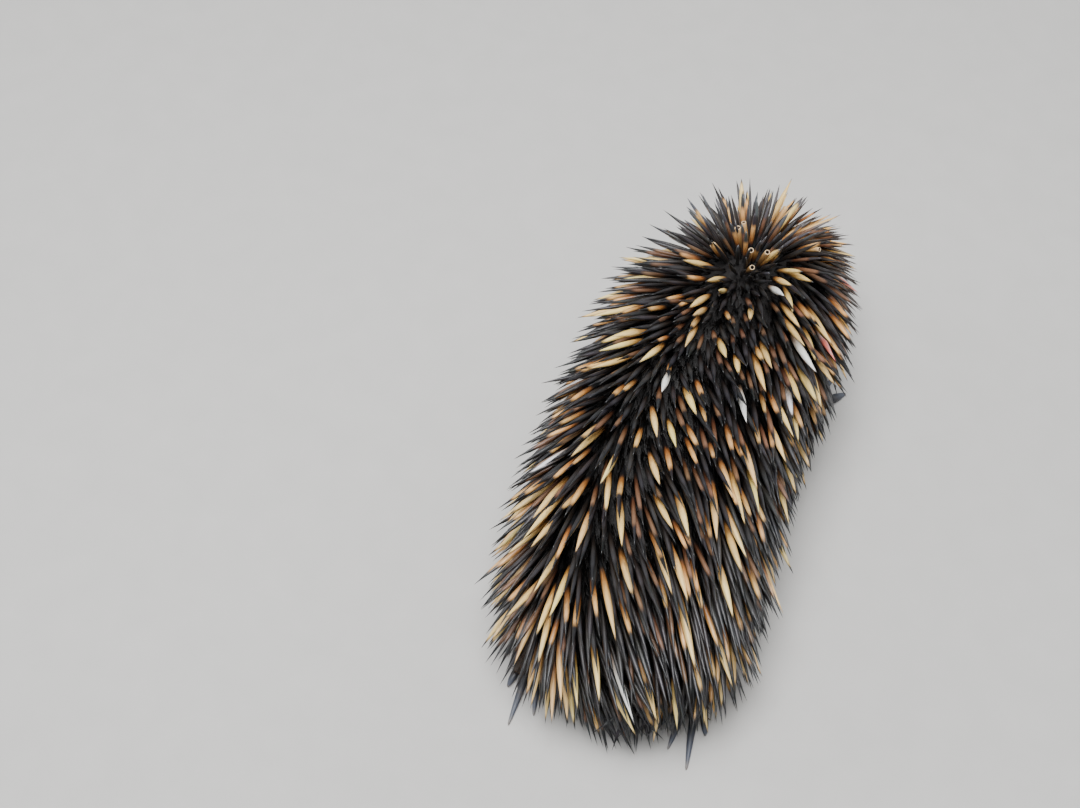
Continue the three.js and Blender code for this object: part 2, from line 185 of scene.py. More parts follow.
# The cross-section's own axes at a row
def frameAt(at):
    step = 0.02
    at = np.asarray(at, float)
    forward = unit(centreAt(np.minimum(at + step, lastRow)) - centreAt(np.maximum(at - step, 0)))
    left = unit(np.cross((0, 0, 1), forward))
    return centreAt(at), forward, left, np.cross(forward, left)


# A point of the skin: angle 0 is the left side, a quarter turn the back, a half turn the right side
def skinPoint(at, angle, grow=0.0):
    middle, _, left, up = frameAt(at)
    c, s = np.cos(angle), np.sin(angle)
    power = np.where(s < 0, bodySize["bellyPower"], 1.0)
    across = np.sign(c) * np.abs(c) ** power * (column(2, at) * halfWidth + grow)
    tall = np.where(s < 0, column(4, at), column(3, at)) * halfHeight + grow
    lift = np.sign(s) * np.abs(s) ** power * tall
    return middle + left * across[..., None] + up * lift[..., None]


def skinNormal(at, angle):
    step = 0.03
    along = skinPoint(at + step, angle) - skinPoint(at - step, angle)
    around = skinPoint(at, angle + step) - skinPoint(at, angle - step)
    return unit(np.cross(around, along))


eyes = {
    "radius": 0.0043,
    "row": row["brow"] + 0.5,
    "angle": math.radians(24),
    "sunk": 0.0018,
    "cornea": 0.00025,
}


def mirrored(angle, side):
    return angle if side > 0 else math.pi - angle


# Point, outward, upward and forward directions of the skin at a place
def seat(at, angle):
    at, angle = np.float64(at), np.float64(angle)
    point, out = skinPoint(at, angle), skinNormal(at, angle)
    over = unit(np.cross(out, frameAt(at)[1]))
    return point, out, over, np.cross(over, out)


def seatOf(organ, side):
    return seat(organ["row"], mirrored(organ["angle"], side))


def eyeCentre(side):
    point, out, _, _ = seatOf(eyes, side)
    return point - out * eyes["sunk"]


def boxMiddle(node):
    low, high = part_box(node)
    return np.array((low + high) / 2)


# The solids are centred on the origin after they are made, and the eyes tell by how much
bodyShift = (boxMiddle("eye_left") + boxMiddle("eye_right") - eyeCentre(1) - eyeCentre(-1)) / 2
print("body shifted by", np.round(bodyShift, 5))

# Legs, as in the solids. toesPoint is 1 for forward and -1 for backward, firstToe -1 where the first
# toe is the innermost and 1 where it is the outermost.
limbs = {
    "fore": {
        "at": row["shoulders"] + 0.05,
        "toesPoint": 1,
        "firstToe": -1,
        "stance": 0.84,
        "reach": 0.015,
        "thick": 0.024,
        "pad": (0.019, 0.019, 0.012),
        "splay": 0.32,
        "turn": -0.05,
        "toeLength": 0.008,
        "toeRadius": 0.0046,
        "claws": (0.015, 0.020, 0.022, 0.020, 0.015),
        "clawWidth": 0.0035,
    },
    "hind": {
        "at": row["hips"] - 0.35,
        "toesPoint": -1,
        "firstToe": 1,
        "stance": 0.82,
        "reach": 0.040,
        "thick": 0.026,
        "pad": (0.017, 0.023, 0.012),
        "splay": 0.24,
        "turn": -0.16,
        "toeLength": 0.007,
        "toeRadius": 0.0039,
        "claws": (0.009, 0.034, 0.025, 0.017, 0.012),
        "clawWidth": 0.0026,
    },
}
sides = {"Left": 1, "Right": -1}


def bezier(a, b, c, t):
    t = np.asarray(t, float)[..., None]
    return (1 - t) ** 2 * a + 2 * t * (1 - t) * b + t * t * c


def legPlan(kind, side):
    limb = limbs[kind]
    middle, forward, left, _ = frameAt(limb["at"])
    out = left * side
    along = unit(forward * (1, 1, 0)) * limb["toesPoint"]
    wide = float(column(2, limb["at"])) * halfWidth

    def place(outward, onward, height):
        point = middle + out * outward + along * onward
        point[2] = height
        return point

    sole = place(wide * limb["stance"], limb["reach"], limb["pad"][2] * 0.6)
    heading = unit(along + out * limb["turn"])
    ends = (
        place(wide * 0.5, -0.004, midHeight * 0.62),
        place(wide, -0.002, midHeight * 0.5),
        np.array((sole[0], sole[1], limb["pad"][2])),
    )
    return {"limb": limb, "out": out, "heading": heading, "sole": sole, "path": ends}


# Toe and claw share one line
def toeLine(plan, i):
    limb, heading, out = plan["limb"], plan["heading"], plan["out"]
    spread = (i - 2) * limb["splay"] * -limb["firstToe"]
    across = unit(out - heading * np.dot(out, heading))
    way = unit(heading + across * spread)
    start = plan["sole"] + heading * limb["pad"][1] * 0.64 + across * spread * limb["pad"][0] * 1.25
    return {"way": way, "from": start, "toe": start + way * (limb["toeLength"] + 0.004)}


# Meshes through rings of points
def loftMesh(rings):
    rings = np.asarray(rings, float)
    count, around = rings.shape[:2]
    points = rings.reshape(-1, 3).tolist()
    faces = []
    for i in range(count - 1):
        for j in range(around):
            a, b = i * around + j, i * around + (j + 1) % around
            faces.append((a, b, b + around, a + around))
    for end in (0, count - 1):
        middle = len(points)
        points.append(rings[end].mean(0).tolist())
        for j in range(around):
            a, b = end * around + j, end * around + (j + 1) % around
            faces.append((a, b, middle) if end else (b, a, middle))
    return points, faces


def tubeRings(middles, across, wide, tall, around):
    tangents = unit(np.gradient(middles, axis=0))
    top = unit(np.cross(tangents, across))
    turn = np.arange(around) / around * 2 * math.pi
    return (
        middles[:, None]
        + across * (np.cos(turn)[None, :] * wide[:, None])[..., None]
        + top[:, None] * (np.sin(turn)[None, :] * tall[:, None])[..., None]
    )


def ballMesh(middle, radii, axes=np.eye(3), rings=24, around=32):
    drop = np.linspace(0, math.pi, rings + 2)[1:-1]
    turn = np.arange(around) / around * 2 * math.pi
    local = np.stack(
        [
            np.sin(drop)[:, None] * np.cos(turn),
            np.sin(drop)[:, None] * np.sin(turn),
            np.repeat(np.cos(drop)[:, None], around, 1),
        ],
        -1,
    )
    return loftMesh(middle + (local * radii) @ np.asarray(axes))


def meshObject(name, points, faces, makeOutward=True):
    mesh = bpy.data.meshes.new(name)
    mesh.from_pydata(points, [], faces)
    if makeOutward:
        shape = bmesh.new()
        shape.from_mesh(mesh)
        bmesh.ops.recalc_face_normals(shape, faces=shape.faces)
        shape.to_mesh(mesh)
        shape.free()
    mesh.update()
    return addObject(name, mesh)


def shadeSmooth(mesh):
    mesh.polygons.foreach_set("use_smooth", [True] * len(mesh.polygons))
    mesh.update()


# A closed piece with one material, in place of a node of the solids
def finishedPiece(name, points, faces, stored, material, node):
    piece = meshObject(name, points, faces)
    for key, values in stored.items():
        storeValues(piece.data, key, values)
    shadeSmooth(piece.data)
    piece.data.materials.append(material)
    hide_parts(node)
    return piece


# A piece's mesh with its modifiers applied
def settle(piece):
    graph = bpy.context.evaluated_depsgraph_get()
    made = bpy.data.meshes.new_from_object(
        piece.evaluated_get(graph), preserve_all_data_layers=True, depsgraph=graph
    )
    made.name = piece.name
    piece.modifiers.clear()
    piece.data = made
    return made


# Three numbers of each item, as rows
def triples(items, name, kind=float):
    held = np.empty(len(items) * 3, kind)
    items.foreach_get(name, held)
    return held.reshape(-1, 3)


def storeValues(mesh, name, values):
    kind = "FLOAT" if values.ndim == 1 else "FLOAT_VECTOR"
    held = mesh.attributes.new(name, kind, "POINT")
    held.data.foreach_set("value" if values.ndim == 1 else "vector", values.astype(np.float32).ravel())


# Node maths as Python expressions
class Wire:
    def __init__(self, graph, socket):
        self.graph = graph
        self.socket = socket

    def __getitem__(self, name):
        return Wire(self.graph, findSocket(self.socket.node.outputs, name))

    def math(self, operation, *values):
        return self.graph.node("ShaderNodeMath", {"operation": operation}, dict(enumerate(values)))

    def __add__(self, other):
        return self.math("ADD", self, other)

    def __sub__(self, other):
        return self.math("SUBTRACT", self, other)

    def __rsub__(self, other):
        return self.math("SUBTRACT", other, self)

    def __mul__(self, other):
        return self.math("MULTIPLY", self, other)

    def __truediv__(self, other):
        return self.math("DIVIDE", self, other)

    def __pow__(self, other):
        return self.math("POWER", self, other)

    __radd__ = __add__
    __rmul__ = __mul__


def findSocket(sockets, key):
    if isinstance(key, int):
        return sockets[key]
    return next(s for s in sockets if s.enabled and key in (s.identifier, s.name))


# A shader or geometry tree, with one method for its nodes
class Graph:
    def __init__(self, tree):
        self.tree = tree

    def node(self, kind, settings=None, values=None, output=None):
        made = self.tree.nodes.new(kind)
        for name, value in (settings or {}).items():
            if name == "stops":
                ramp = made.color_ramp.elements
                while len(ramp) < len(value):
                    ramp.new(0.5)
                for element, (place, colour) in zip(ramp, value):
                    element.position = place
                    element.color = (*colour, 1)
            else:
                setattr(made, name, value)
        for key, value in (values or {}).items():
            socket = findSocket(made.inputs, key)
            if isinstance(value, Wire):
                self.tree.links.new(value.socket, socket)
            else:
                socket.default_value = value
        if output is None:
            found = [s for s in made.outputs if s.enabled]
            return Wire(self, found[0]) if found else made
        return Wire(self, findSocket(made.outputs, output))

    def vector(self, operation, *values):
        return self.node("ShaderNodeVectorMath", {"operation": operation}, dict(enumerate(values)))

    # an attribute that a modifier reads, and one that it writes
    def named(self, name, kind="FLOAT"):
        return self.node("GeometryNodeInputNamedAttribute", {"data_type": kind}, {"Name": name})

    def store(self, geometry, name, value, kind="FLOAT", domain="POINT"):
        settings = {"data_type": kind, "domain": domain}
        values = {"Geometry": geometry, "Name": name, "Value": value}
        return self.node("GeometryNodeStoreNamedAttribute", settings, values)

    def scaled(self, vector, scale):
        return self.node("ShaderNodeVectorMath", {"operation": "SCALE"}, {0: vector, "Scale": scale})


class Shading(Graph):
    def __init__(self, name):
        self.material = bpy.data.materials.new(name)
        self.material.use_nodes = True
        super().__init__(self.material.node_tree)
        self.shader = next(n for n in self.tree.nodes if n.type == "BSDF_PRINCIPLED")

    def attribute(self, name, output="Fac"):
        return self.node("ShaderNodeAttribute", {"attribute_name": name}, output=output)

    def noise(self, where, scale, detail=3.0, roughness=0.5):
        values = {"Vector": where, "Scale": scale, "Detail": detail, "Roughness": roughness}
        return self.node("ShaderNodeTexNoise", {}, values, "Fac")

    def object(self):
        return self.node("ShaderNodeTexCoord", output="Object")

    def colour(self, share, a, b, blend="MIX"):
        a = a if isinstance(a, Wire) else (*a, 1)
        b = b if isinstance(b, Wire) else (*b, 1)
        settings = {"data_type": "RGBA", "blend_type": blend}
        return self.node("ShaderNodeMix", settings, {"Factor": share, "A": a, "B": b}, "Result")

    # 0 below low, 1 above high, smooth between
    def step(self, value, low, high):
        values = {"Value": value, "From Min": low, "From Max": high}
        return self.node("ShaderNodeMapRange", {"interpolation_type": "SMOOTHSTEP"}, values, "Result")

    # a colour times a shade, which is a wire, or times another colour
    def times(self, colour, shade):
        if isinstance(shade, Wire):
            shade = self.node("ShaderNodeCombineColor", {}, {0: shade, 1: shade, 2: shade})
        return self.colour(1.0, colour, shade, "MULTIPLY")

    def bump(self, height, strength, distance):
        values = {"Height": height, "Strength": strength, "Distance": distance}
        return self.node("ShaderNodeBump", {}, values)

    def finish(self, **values):
        for key, value in values.items():
            socket = self.shader.inputs[key.replace("_", " ")]
            if isinstance(value, Wire):
                self.tree.links.new(value.socket, socket)
            else:
                socket.default_value = value
        return self.material


# Where spines grow, and how they lie: as in the solids
coat = {
    "firstRow": 0.7,
    "lastRow": row["brow"] - 0.15,
    "lowestFlank": math.radians(-32),
    "lowestNeck": math.radians(8),
    "lowestCrown": math.radians(38),
    "leanLeast": math.radians(8.5),
    "leanMost": math.radians(56),
    "leanReach": 0.041,
    "combed": np.array((-1.25, 0.05, -0.6)),  # which way the whole coat turns towards the tail
    "combedAt": 0.285,
    "swept": np.array((0.08, 0.9, 0.55)),  # and which way it turns on the right of the whorl
    "sweptAt": 0.024,
    "sweptWide": 0.026,
}
whorl = skinPoint(np.float64(8.0), math.radians(80))
nodeEnds = {"tail": 2.15, "torso": 7.9, "neck": 9.65, "head": 12.55}


def lowestAngle(at):
    toNeck = smooth(at - row["shoulders"] + 0.2)
    toCrown = smooth(at - row["neck"] - 0.2)
    return mix(mix(coat["lowestFlank"], coat["lowestNeck"], toNeck), coat["lowestCrown"], toCrown)


def spineSizes(at):
    toTail = smooth((row["rump"] + 0.4 - at) / 1.6)
    toRump = smooth((row["chest"] - at) / 2.6)
    toHead = smooth((at - row["neckBase"]) / 2.6)
    return {
        "length": mix(mix(mix(0.042, 0.052, toRump), 0.038, toTail), 0.024, toHead),
        "radius": mix(mix(0.00195, 0.0016, toTail), 0.0013, toHead),
        "spacing": mix(mix(0.0058, 0.0050, toTail), 0.0044, toHead),
    }


# The pixel of the photo where each point shows
photoSize = {"width": 1080, "height": 808}


def photoAxes():
    back = np.array(backVector(viewpoint["azimuth"], viewpoint["elevation"]))
    right = unit(np.cross((0, 0, 1), back))
    return back, right, np.cross(back, right)


def photoPixel(points):
    back, right, up = photoAxes()
    away = points - np.array(viewpoint["aim"])
    scale = viewpoint["lens"] / viewpoint["sensor"] * photoSize["width"]
    scale = scale / (viewpoint["distance"] - away @ back)
    across = photoSize["width"] / 2 + away @ right * scale
    return np.stack([across, photoSize["height"] / 2 - away @ up * scale], -1)


# Spines lean away from the whorl, further over the further they are from it
def coatLie(points, normals, extraLean=0.0):
    away = points - whorl
    distance = np.linalg.norm(away, axis=-1, keepdims=True)
    flow = unit(away) + coat["combed"] * smooth(distance / coat["combedAt"])
    toRight = smooth(-away[..., :1] / coat["sweptWide"])
    flow = flow + coat["swept"] * smooth(distance / coat["sweptAt"]) * toRight
    flow = unit(flow - normals * dot(flow, normals))
    over = mix(coat["leanLeast"], coat["leanMost"], smooth(distance / coat["leanReach"])) + extraLean
    return normals * np.cos(over) + flow * np.sin(over)


# Where a place of the body lies on the bake's map, and how much of the map one spine or tuft takes
bakeMap = {"edge": 0.02, "inner": 0.96, "patch": 0.003, "seam": math.radians(-90)}


def bodyPatch(at, angle):
    edge, inner = bakeMap["edge"], bakeMap["inner"]
    around = edge + inner * (angle - bakeMap["seam"]) % math.tau / math.tau
    return np.stack([around, edge + inner * at / lastRow, np.zeros_like(at)], -1)


seenSearch = {"steps": 420, "facing": 0.05, "pixelsOff": 3}


# Row and angle of the roots whose spines show at the given pixels, share of the way up each spine
def rootsSeenAt(pixels, share):
    steps = seenSearch["steps"]
    rows = np.linspace(coat["firstRow"], coat["lastRow"], steps)
    angles = np.linspace(coat["lowestFlank"], math.pi - coat["lowestFlank"], steps)
    at, angle = (v.ravel() for v in np.meshgrid(rows, angles, indexing="ij"))
    place, normal = skinPoint(at, angle), skinNormal(at, angle)
    reach = spineSizes(at)["length"][:, None] * share
    hidden = np.where(normal @ photoAxes()[0] > seenSearch["facing"], 0, np.inf)
    shown = photoPixel(place + coatLie(place, normal) * reach)
    off = [np.linalg.norm(shown - pixel, axis=1) + hidden for pixel in pixels]
    near = seenSearch["pixelsOff"]
    nearest = np.array([distance.argmin() for distance in off if distance.min() < near])
    return at[nearest], angle[nearest]


# Skin
skinSize = {
    "voxel": 0.0018,
    "furDepth": 0.0012,  # how far the skin lies inside the solids under short fur
    "smoothing": 5,
}
limbPlans = {(k, s): legPlan(k, v) for k in limbs for s, v in sides.items()}


def bodyGrow(at, angle):
    spined = smooth((np.sin(angle) + 0.6) / 0.3) * smooth((row["brow"] - at) / 1.5)
    bare = smooth((at - row["face"] - 0.2) / 0.8)
    return -skinSize["furDepth"] * (1 - np.maximum(spined, bare))


def bodyLoft(first, last, rings, around):
    at = np.repeat(np.linspace(first, last, rings)[:, None], around, 1)
    angle = np.repeat(np.arange(around)[None, :] / around * 2 * math.pi, rings, 0)
    return loftMesh(skinPoint(at, angle, bodyGrow(at, angle)))


# Leg and toe along their length: thickness at both ends as shares of the limb's own
legForm = {"rings": 18, "around": 28, "wide": (1.15, 0.8), "tall": (1.0, 0.72)}
toeForm = {"rings": 16, "around": 16, "bulge": 0.10, "joints": 2.2, "narrows": 0.9, "roundFrom": 0.80}


def legMeshes(plan):
    limb, heading, sole = plan["limb"], plan["heading"], plan["sole"]
    inset = skinSize["furDepth"]
    t = np.linspace(0, 1, legForm["rings"])
    middles = bezier(*plan["path"], t)
    wide, tall = (limb["thick"] * mix(*legForm[way], t) - inset for way in ("wide", "tall"))
    made = [loftMesh(tubeRings(middles, heading, wide, tall, legForm["around"]))]
    across = np.cross((0, 0, 1), heading)
    made.append(ballMesh(sole, np.array(limb["pad"]) - inset * 0.5, (across, heading, (0, 0, 1))))
    for i in range(len(limb["claws"])):
        line = toeLine(plan, i)
        radius = limb["toeRadius"]
        start = line["from"] + (line["from"] - line["toe"]) * 0.25
        ends = np.array([start, line["from"], line["toe"]])
        ends[:, 2] = (radius + 0.0016, radius + 0.0012, radius)
        t = np.linspace(0, 1, toeForm["rings"])
        middles = bezier(*ends, t)
        middles += (ends[2] - middles[-1]) * t[:, None]
        swell = 1 + toeForm["bulge"] * np.sin(t * math.pi * toeForm["joints"])
        girth = radius * swell * mix(1.0, toeForm["narrows"], t)
        girth *= np.sqrt(np.clip(1 - ((t - toeForm["roundFrom"]) / 0.23).clip(0) ** 2, 0.2, 1))
        side = np.cross((0, 0, 1), line["way"])
        made.append(loftMesh(tubeRings(middles, side, girth, girth, toeForm["around"])))
    return made


def joinMeshes(parts):
    points, faces = [], []
    for somePoints, someFaces in parts:
        base = len(points)
        points += list(somePoints)
        faces += [tuple(base + i for i in face) for face in someFaces]
    return points, faces


def makeSkin():
    parts = [bodyLoft(0, lastRow, 260, 96)]
    for plan in limbPlans.values():
        parts += legMeshes(plan)
    made = meshObject("skin", *joinMeshes(parts))
    remesh = made.modifiers.new("one", "REMESH")
    remesh.mode = "VOXEL"
    remesh.voxel_size = skinSize["voxel"]
    relax = made.modifiers.new("relax", "SMOOTH")
    relax.factor = 0.5
    relax.iterations = skinSize["smoothing"]
    settle(made)
    return made


# Splits the skin's faces near a point, each side of a face into cuts + 1
def refine(mesh, middle, reach, cuts):
    shape = bmesh.new()
    shape.from_mesh(mesh)
    near = [e for e in shape.edges if (e.verts[0].co - Vector(middle)).length < reach]
    bmesh.ops.subdivide_edges(shape, edges=near, cuts=cuts, use_grid_fill=True)
    shape.to_mesh(mesh)
    shape.free()


# Points near a place, in its own axes: ahead, over and out
def localTo(points, origin, ahead, over, out):
    away = points - origin
    return np.stack([away @ ahead, away @ over, away @ out], -1)


lidSize = {
    "long": 0.0033,  # half the opening's length
    "tall": 0.0024,
    "thick": 0.0008,
    "groove": 0.0005,
}


# The opening of the lids, their rounded rims and the fold behind them
def sculptEye(points, side):
    _, out, over, ahead = seatOf(eyes, side)
    middle = eyeCentre(side)
    local = localTo(points, middle, ahead, over, out)
    across = local[:, 0] / lidSize["long"]
    lift = local[:, 1] / (lidSize["tall"] * (1 - 0.35 * np.clip(np.abs(across), 0, 1) ** 2))
    ring = np.sqrt(across**2 + lift**2)
    distance = np.linalg.norm(local, axis=1)
    mine = (local[:, 2] > 0) & (distance < 0.010) & (ring < 3.2)
    radius = eyes["radius"]
    inside = radius - 0.0007
    rim = radius + 0.0001 + lidSize["thick"] * np.sqrt(np.clip((ring - 1) / 0.45, 0, 1))
    wanted = mix(inside, rim, smooth((ring - 0.93) / 0.12))
    held = distance - lidSize["groove"] * np.exp(-(((ring - 1.85) / 0.22) ** 2))
    held += lidSize["groove"] * 0.6 * np.exp(-(((ring - 2.3) / 0.25) ** 2))
    wanted = mix(wanted, held, smooth((ring - 1.3) / 0.55))
    moved = middle + unit(points - middle) * wanted[:, None]
    points[mine] = moved[mine]


snout = {
    "row": row["beakTip"] - 0.12,  # of the nostrils, and their angle
    "angle": math.radians(62),
    "nostril": (0.0021, 0.0008, 0.0016),  # half length, half width, depth
    "mouthBelow": 0.0016,
    "mouthBack": 0.0085,  # behind the beak's end
    "lipDepth": 0.0009,
}


def sculptSnout(points):
    for side in sides.values():
        origin, out, over, ahead = seatOf(snout, side)
        local = localTo(points, origin, ahead, over, out)
        length, width, depth = snout["nostril"]
        ring = np.sqrt((local[:, 0] / length) ** 2 + (local[:, 1] / width) ** 2)
        near = np.abs(local[:, 2]) < 0.003
        push = -depth * smooth((1.15 - ring) / 0.7) + 0.00035 * np.exp(-(((ring - 1.6) / 0.4) ** 2))
        points += np.where(near, push, 0)[:, None] * out
    middle, forward, left, up = frameAt(np.float64(row["beakTip"]))
    local = localTo(points, middle, forward, left, up)
    end = float((frameAt(np.float64(lastRow))[0] - middle) @ forward)
    onLip = smooth((local[:, 0] - end + snout["mouthBack"]) / 0.003)
    crease = np.exp(-(((local[:, 2] + snout["mouthBelow"]) / 0.00045) ** 2))
    near = (np.abs(local[:, 1]) < 0.012) & (np.abs(local[:, 2]) < 0.008)
    inward = unit(-local * (1, 1, 0.15)) @ np.stack([forward, left, up])
    points += inward * (snout["lipDepth"] * onLip * crease * near)[:, None]


ears = {
    "row": row["nape"] + 0.3,
    "angle": math.radians(12),
    "long": 0.0040,
    "tall": 0.0104,
    "deep": 0.0046,
    "hollow": 0.0050,  # how far the opening goes into the head
}


def earCentre(side):
    return seatOf(ears, side)[0]


def sculptEar(points, side):
    origin, out, over, ahead = seatOf(ears, side)
    local = localTo(points, origin, ahead, over, out)
    ring = np.sqrt((local[:, 0] / ears["long"]) ** 2 + (local[:, 1] / ears["tall"]) ** 2)
    near = np.abs(local[:, 2]) < 0.006
    points -= np.where(near, ears["hollow"] * smooth((0.82 - ring) / 0.3), 0)[:, None] * out


placeSearch = {"rows": 321, "chunk": 4000, "nearness": 0.15}


# The body's own coordinates of points on the skin: row, angle and height over the body's surface
def bodyPlace(points):
    rows = np.linspace(0, lastRow, placeSearch["rows"])
    middle, forward, _, _ = frameAt(rows)
    at = np.empty(len(points))
    chunk = placeSearch["chunk"]
    for start in range(0, len(points), chunk):
        away = points[start : start + chunk, None] - middle
        offset = np.abs(np.einsum("ijk,jk->ij", away, forward))
        # the body bends, so planes of far rows pass here too
        offset += placeSearch["nearness"] * np.linalg.norm(away, axis=2)
        at[start : start + chunk] = rows[offset.argmin(1)]
    middle, _, left, up = frameAt(at)
    across = np.sum((points - middle) * left, 1) / (column(2, at) * halfWidth)
    lift = np.sum((points - middle) * up, 1)
    lift = lift / (np.where(lift < 0, column(4, at), column(3, at)) * halfHeight)
    power = np.where(lift < 0, 1 / bodySize["bellyPower"], 1.0)
    angle = np.arctan2(np.sign(lift) * np.abs(lift) ** power, np.sign(across) * np.abs(across) ** power)
    height = np.linalg.norm(points - skinPoint(at, angle), axis=1)
    return at, angle, height


# How far round each place the skin's faces are split, and by how many cuts
finer = {
    "beak": (0.030, 1),
    "beakTip": (0.012, 1),
    "eye": (0.0125, 1),
    "lids": (0.0095, 2),
    "nostril": (0.0042, 1),
    "ear": (0.012, 1),
    "toes": (0.020, 1),
}
skinMarks = {
    "spinedFade": 0.12,  # in radians, and in rows at the brow
    "browFade": 0.5,
    "spinedHeight": 0.004,
    "lidsWithin": 0.0062,
    "lidsFade": 0.0022,
}


def finishSkin(made):
    mesh = made.data
    beakMiddle = centreAt(np.float64(row["beak"]))
    beakEnd = centreAt(np.float64(row["beakTip"]))
    refine(mesh, beakMiddle, *finer["beak"])
    refine(mesh, beakEnd, *finer["beakTip"])
    for side in sides.values():
        refine(mesh, eyeCentre(side), *finer["eye"])
        refine(mesh, eyeCentre(side), *finer["lids"])
        nostril = seatOf(snout, side)[0]
        refine(mesh, nostril, *finer["nostril"])
        refine(mesh, earCentre(side), *finer["ear"])
    for plan in limbPlans.values():
        refine(mesh, plan["sole"] + plan["heading"] * plan["limb"]["pad"][1], *finer["toes"])
    points = triples(mesh.vertices, "co")
    for side in sides.values():
        sculptEye(points, side)
        sculptEar(points, side)
    sculptSnout(points)
    points[:, 2] = np.maximum(points[:, 2], 0.0)
    mesh.vertices.foreach_set("co", points.ravel())
    at, angle, height = bodyPlace(points)
    storeValues(mesh, "bodyRow", at)
    low = lowestAngle(at)
    fade = skinMarks["spinedFade"]
    spined = smooth((angle - low) / fade + 0.5) * smooth((math.pi - low - angle) / fade + 0.5)
    spined *= 1 - smooth((at - coat["lastRow"]) / skinMarks["browFade"])
    storeValues(mesh, "spined", spined * smooth(1.5 - height / skinMarks["spinedHeight"]))
    lids = np.stack([np.linalg.norm(points - eyeCentre(side), axis=1) for side in sides.values()]).min(0)
    storeValues(mesh, "lids", 1 - smooth((lids - skinMarks["lidsWithin"]) / skinMarks["lidsFade"]))
    shadeSmooth(mesh)


skin = makeSkin()
finishSkin(skin)
print("skin:", len(skin.data.polygons), "faces")


# Spines and hairs: one tree stands a tapering piece on every root
def standingTree():
    tree = bpy.data.node_groups.new("standing", "GeometryNodeTree")
    face = tree.interface
    face.new_socket("Roots", in_out="INPUT", socket_type="NodeSocketGeometry")
    for name, kind in {
        "Sides": "Int",
        "Rings": "Int",
        "Root width": "Float",
        "Skew": "Float",
        "Sharpness": "Float",
        "Seed": "Int",
        "Patch": "Float",
        "Material": "Material",
    }.items():
        face.new_socket(name, in_out="INPUT", socket_type="NodeSocket" + kind)
    face.new_socket("Pieces", in_out="OUTPUT", socket_type="NodeSocketGeometry")
    g = Graph(tree)
    given = g.node("NodeGroupInput")

    # a cone one high, given a spindle's outline
    size = {"Radius Top": 0.0, "Radius Bottom": 1.0, "Depth": 1.0}
    size |= {"Vertices": given["Sides"], "Side Segments": given["Rings"]}
    cone = g.node("GeometryNodeMeshCone", {"fill_type": "NGON"}, size, "Mesh")
    place = g.node("GeometryNodeInputPosition")
    parts = g.node("ShaderNodeSeparateXYZ", {}, {0: place}, "X")
    along = parts["Z"]
    turn = parts["Y"].math("ARCTAN2", parts["Y"], parts["X"])
    shaped = g.store(cone, "along", along)
    shaped = g.store(shaped, "around", turn.math("ABSOLUTE", turn) / math.pi)
    # half a sine wave, skewed so that its top is at the fullest place, and drawn out at its ends
    wave = along ** given["Skew"] * math.pi
    belly = wave.math("SINE", wave)
    belly = belly.math("MAXIMUM", belly, 0.0) ** given["Sharpness"]
    foot = (1 - along) * given["Root width"]
    girth = belly * (1 - given["Root width"]) + foot
    flat = g.node("ShaderNodeCombineXYZ", {}, {"X": parts["X"], "Y": parts["Y"]})
    rim = g.vector("NORMALIZE", flat)
    outline = g.vector("ADD", g.scaled(rim, girth), g.node("ShaderNodeCombineXYZ", {}, {"Z": along}))
    shaped = g.node("GeometryNodeSetPosition", {}, {"Geometry": shaped, "Position": outline})

    lie = g.named("lie", "FLOAT_VECTOR")
    size = g.named("size", "FLOAT_VECTOR")
    anyTurn = {"Min": 0.0, "Max": math.tau, "Seed": given["Seed"]}
    spin = g.node("FunctionNodeRandomValue", {"data_type": "FLOAT"}, anyTurn, "Value")
    aimed = g.node("FunctionNodeAlignRotationToVector", {"axis": "Z"}, {"Vector": lie})
    twist = g.node("FunctionNodeAxisAngleToRotation", {}, {"Axis": (0, 0, 1), "Angle": spin})
    turned = {"Rotation": aimed, "Rotate By": twist}
    aimed = g.node("FunctionNodeRotateRotation", {"rotation_space": "LOCAL"}, turned)
    stood = {"Points": given["Roots"], "Instance": shaped, "Rotation": aimed, "Scale": size}
    copies = g.node("GeometryNodeInstanceOnPoints", {}, stood)
    real = g.node("GeometryNodeRealizeInstances", {}, {"Geometry": copies})

    # each one bends away from straight, most at its tip
    sway = g.named("sway", "FLOAT_VECTOR")
    reached = g.named("along")
    bent = {"Geometry": real, "Offset": g.scaled(sway, reached * reached)}
    real = g.node("GeometryNodeSetPosition", {}, bent)
    spot = g.named("spot", "FLOAT_VECTOR")
    inPatch = {"X": (g.named("around") - 0.5) * given["Patch"], "Y": (reached - 0.5) * given["Patch"]}
    unwrap = g.vector("ADD", spot, g.node("ShaderNodeCombineXYZ", {}, inPatch))
    real = g.store(real, "OFBake", unwrap, "FLOAT2", "CORNER")
    real = g.node("GeometryNodeSetMaterial", {}, {"Geometry": real, "Material": given["Material"]})
    g.node("NodeGroupOutput", {}, {0: real})
    return tree


standingPieces = standingTree()


